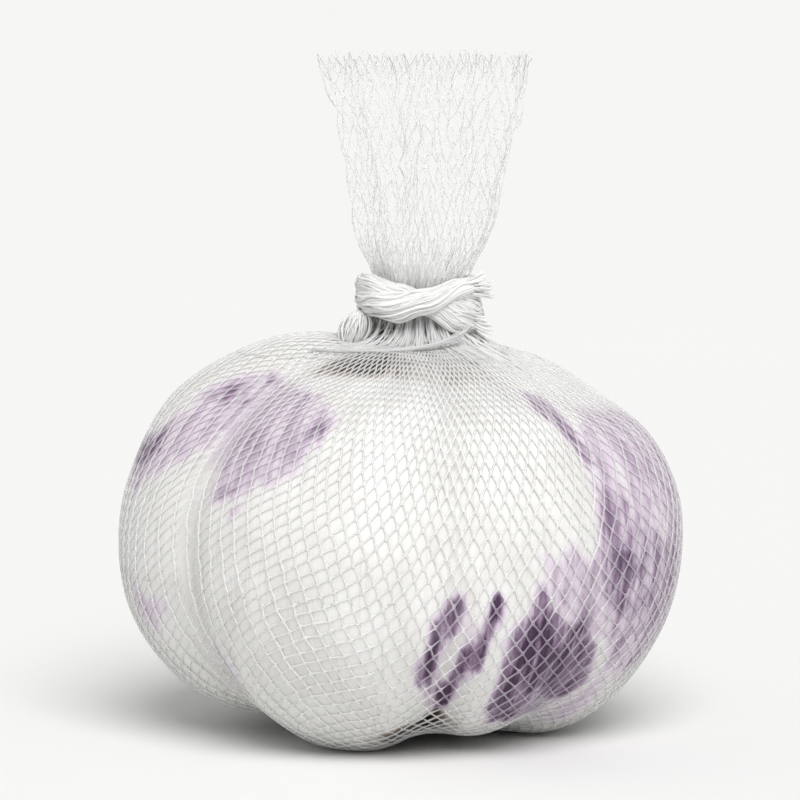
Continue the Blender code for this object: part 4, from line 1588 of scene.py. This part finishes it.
class GARLIC_OT_net(bpy.types.Operator):
    """Make the net over the bulb, with the folds of its gathered neck"""

    bl_idname = "garlic.net"
    bl_label = "Net"
    bl_options = {"REGISTER", "UNDO"}

    def execute(self, context):
        settings = context.scene.garlic
        net = settings.net
        white = tuple(net.colour)
        finish = thread_material("net_thread", white, 0.4, NET_GRAIN, NET_OPACITY)
        dense = thread_material("gathered_thread", white, 0.45, NET_GRAIN, GATHERED_OPACITY)
        half = net.thread / MM / 2
        sheet = draped_sheet(settings.bulb.growth / MM, half + GROUND_GAP)
        whole = body_net(net, sheet, half)
        take_painted_skin_light(whole, bpy.data.objects["bulb_skin"])
        for name, low, high in (
            ("net_lower", None, LOWER_CUT),
            ("net_upper", LOWER_CUT, UPPER_CUT),
            ("net_neck", UPPER_CUT, None),
        ):
            part = mesh_object(cut_between(whole, low, high), name, finish)
            settle(part, "net_bag")
        whole.free()
        settle(mesh_object(gather_core(), "net_gather", dense), "net_bag")
        routes, halves = neck_folds(net, sheet)
        settle(strands_object("net_folds", routes, halves, dense), "net_bag")
        along = np.linspace(0, 1, RIM_POINTS)
        draw = np.random.default_rng(9)
        route = smooth_through(NECK_RIM, along)
        thick = read_off(RIM_HALVES, along)
        routes, halves = bundle(route, thick, RIM_FIBRES, draw, RIM_FIBRE_HALF, twist=RIM_TWIST)
        settle(strands_object("net_rim", routes, halves, dense), "net_bag")
        return {"FINISHED"}


class GARLIC_OT_fan(bpy.types.Operator):
    """Make the open fan of net above the tie"""

    bl_idname = "garlic.fan"
    bl_label = "Fan"
    bl_options = {"REGISTER", "UNDO"}

    def execute(self, context):
        net = context.scene.garlic.net
        finish = thread_material("fan_thread", tuple(net.fan_lit_colour), 0.4, NET_GRAIN, NET_OPACITY)
        whole = fan_net(net, net.fan_thread / MM / 2)
        settle(mesh_object(whole, "net_fan", finish), "net_bag")
        routes, halves = fan_fibres(net)
        settle(strands_object("net_fan_fibres", routes, halves, finish), "net_bag")
        return {"FINISHED"}


class GARLIC_OT_tie(bpy.types.Operator):
    """Make the tie: two turns of fibres, a tuft and loose ends"""

    bl_idname = "garlic.tie"
    bl_label = "Tie"
    bl_options = {"REGISTER", "UNDO"}

    def execute(self, context):
        tie = context.scene.garlic.tie
        half = tie.fibre / MM / 2
        finish = thread_material("tie_thread", tuple(tie.colour), 0.55, TIE_GRAIN, TIE_OPACITY)
        draw = np.random.default_rng(5)
        for name, stations, twist in (("front", TIE_FRONT_TURN, 1), ("rear", TIE_REAR_TURN, -1)):
            core = mesh_object(turn_core(stations), f"tie_{name}_core", finish)
            settle(core, "net_tie")
            routes = [turn_fibre(stations, draw, twist) for _ in range(tie.fibres)]
            sizes = draw.uniform(0.8, 1.35, len(routes)) * half
            fibres = strands_object(f"tie_{name}_fibres", routes, sizes, finish)
            settle(fibres, "net_tie")
        routes, sizes = tuft_fibres(draw, half)
        settle(strands_object("tie_tuft", routes, sizes, finish), "net_tie")
        along = np.linspace(0, 1, TIE_END_POINTS)
        thick = np.full(TIE_END_POINTS, TIE_END_HALF)
        routes, sizes = [], []
        for end in TIE_ENDS:
            route = smooth_through(end, along)
            more = bundle(route, thick, TIE_END_FIBRES, draw, 0.8 * half, splay=TIE_END_SPLAY)
            routes += more[0]
            sizes += more[1]
        settle(strands_object("tie_ends", routes, sizes, finish), "net_tie")
        return {"FINISHED"}


class GARLIC_PT_panel(bpy.types.Panel):
    """Lists the steps that make the garlic bulb"""

    bl_label = "Garlic Bulb"
    bl_space_type = "VIEW_3D"
    bl_region_type = "UI"
    bl_category = "Garlic"

    def draw(self, context):
        settings = context.scene.garlic
        for name in ("stage", "bulb", "net", "fan", "tie"):
            box = self.layout.box()
            box.operator(f"garlic.{name}")
            if name == "fan":
                continue
            group = getattr(settings, name)
            for key in group.bl_rna.properties.keys():
                if key not in ("rna_type", "name"):
                    box.prop(group, key)


CLASSES = (
    StageSettings,
    BulbSettings,
    NetSettings,
    TieSettings,
    GarlicSettings,
    GARLIC_OT_stage,
    GARLIC_OT_bulb,
    GARLIC_OT_net,
    GARLIC_OT_fan,
    GARLIC_OT_tie,
    GARLIC_PT_panel,
)


def register():
    """Adds the classes and the settings to Blender."""
    for cls in CLASSES:
        bpy.utils.register_class(cls)
    bpy.types.Scene.garlic = bpy.props.PointerProperty(type=GarlicSettings)


def unregister():
    """Takes the settings and the classes out again."""
    del bpy.types.Scene.garlic
    for cls in reversed(CLASSES):
        bpy.utils.unregister_class(cls)


def main():
    """Makes the whole scene."""
    register()
    bpy.ops.garlic.stage()
    bpy.ops.garlic.bulb()
    bpy.ops.garlic.net()
    bpy.ops.garlic.fan()
    bpy.ops.garlic.tie()


if __name__ == "__main__":
    main()
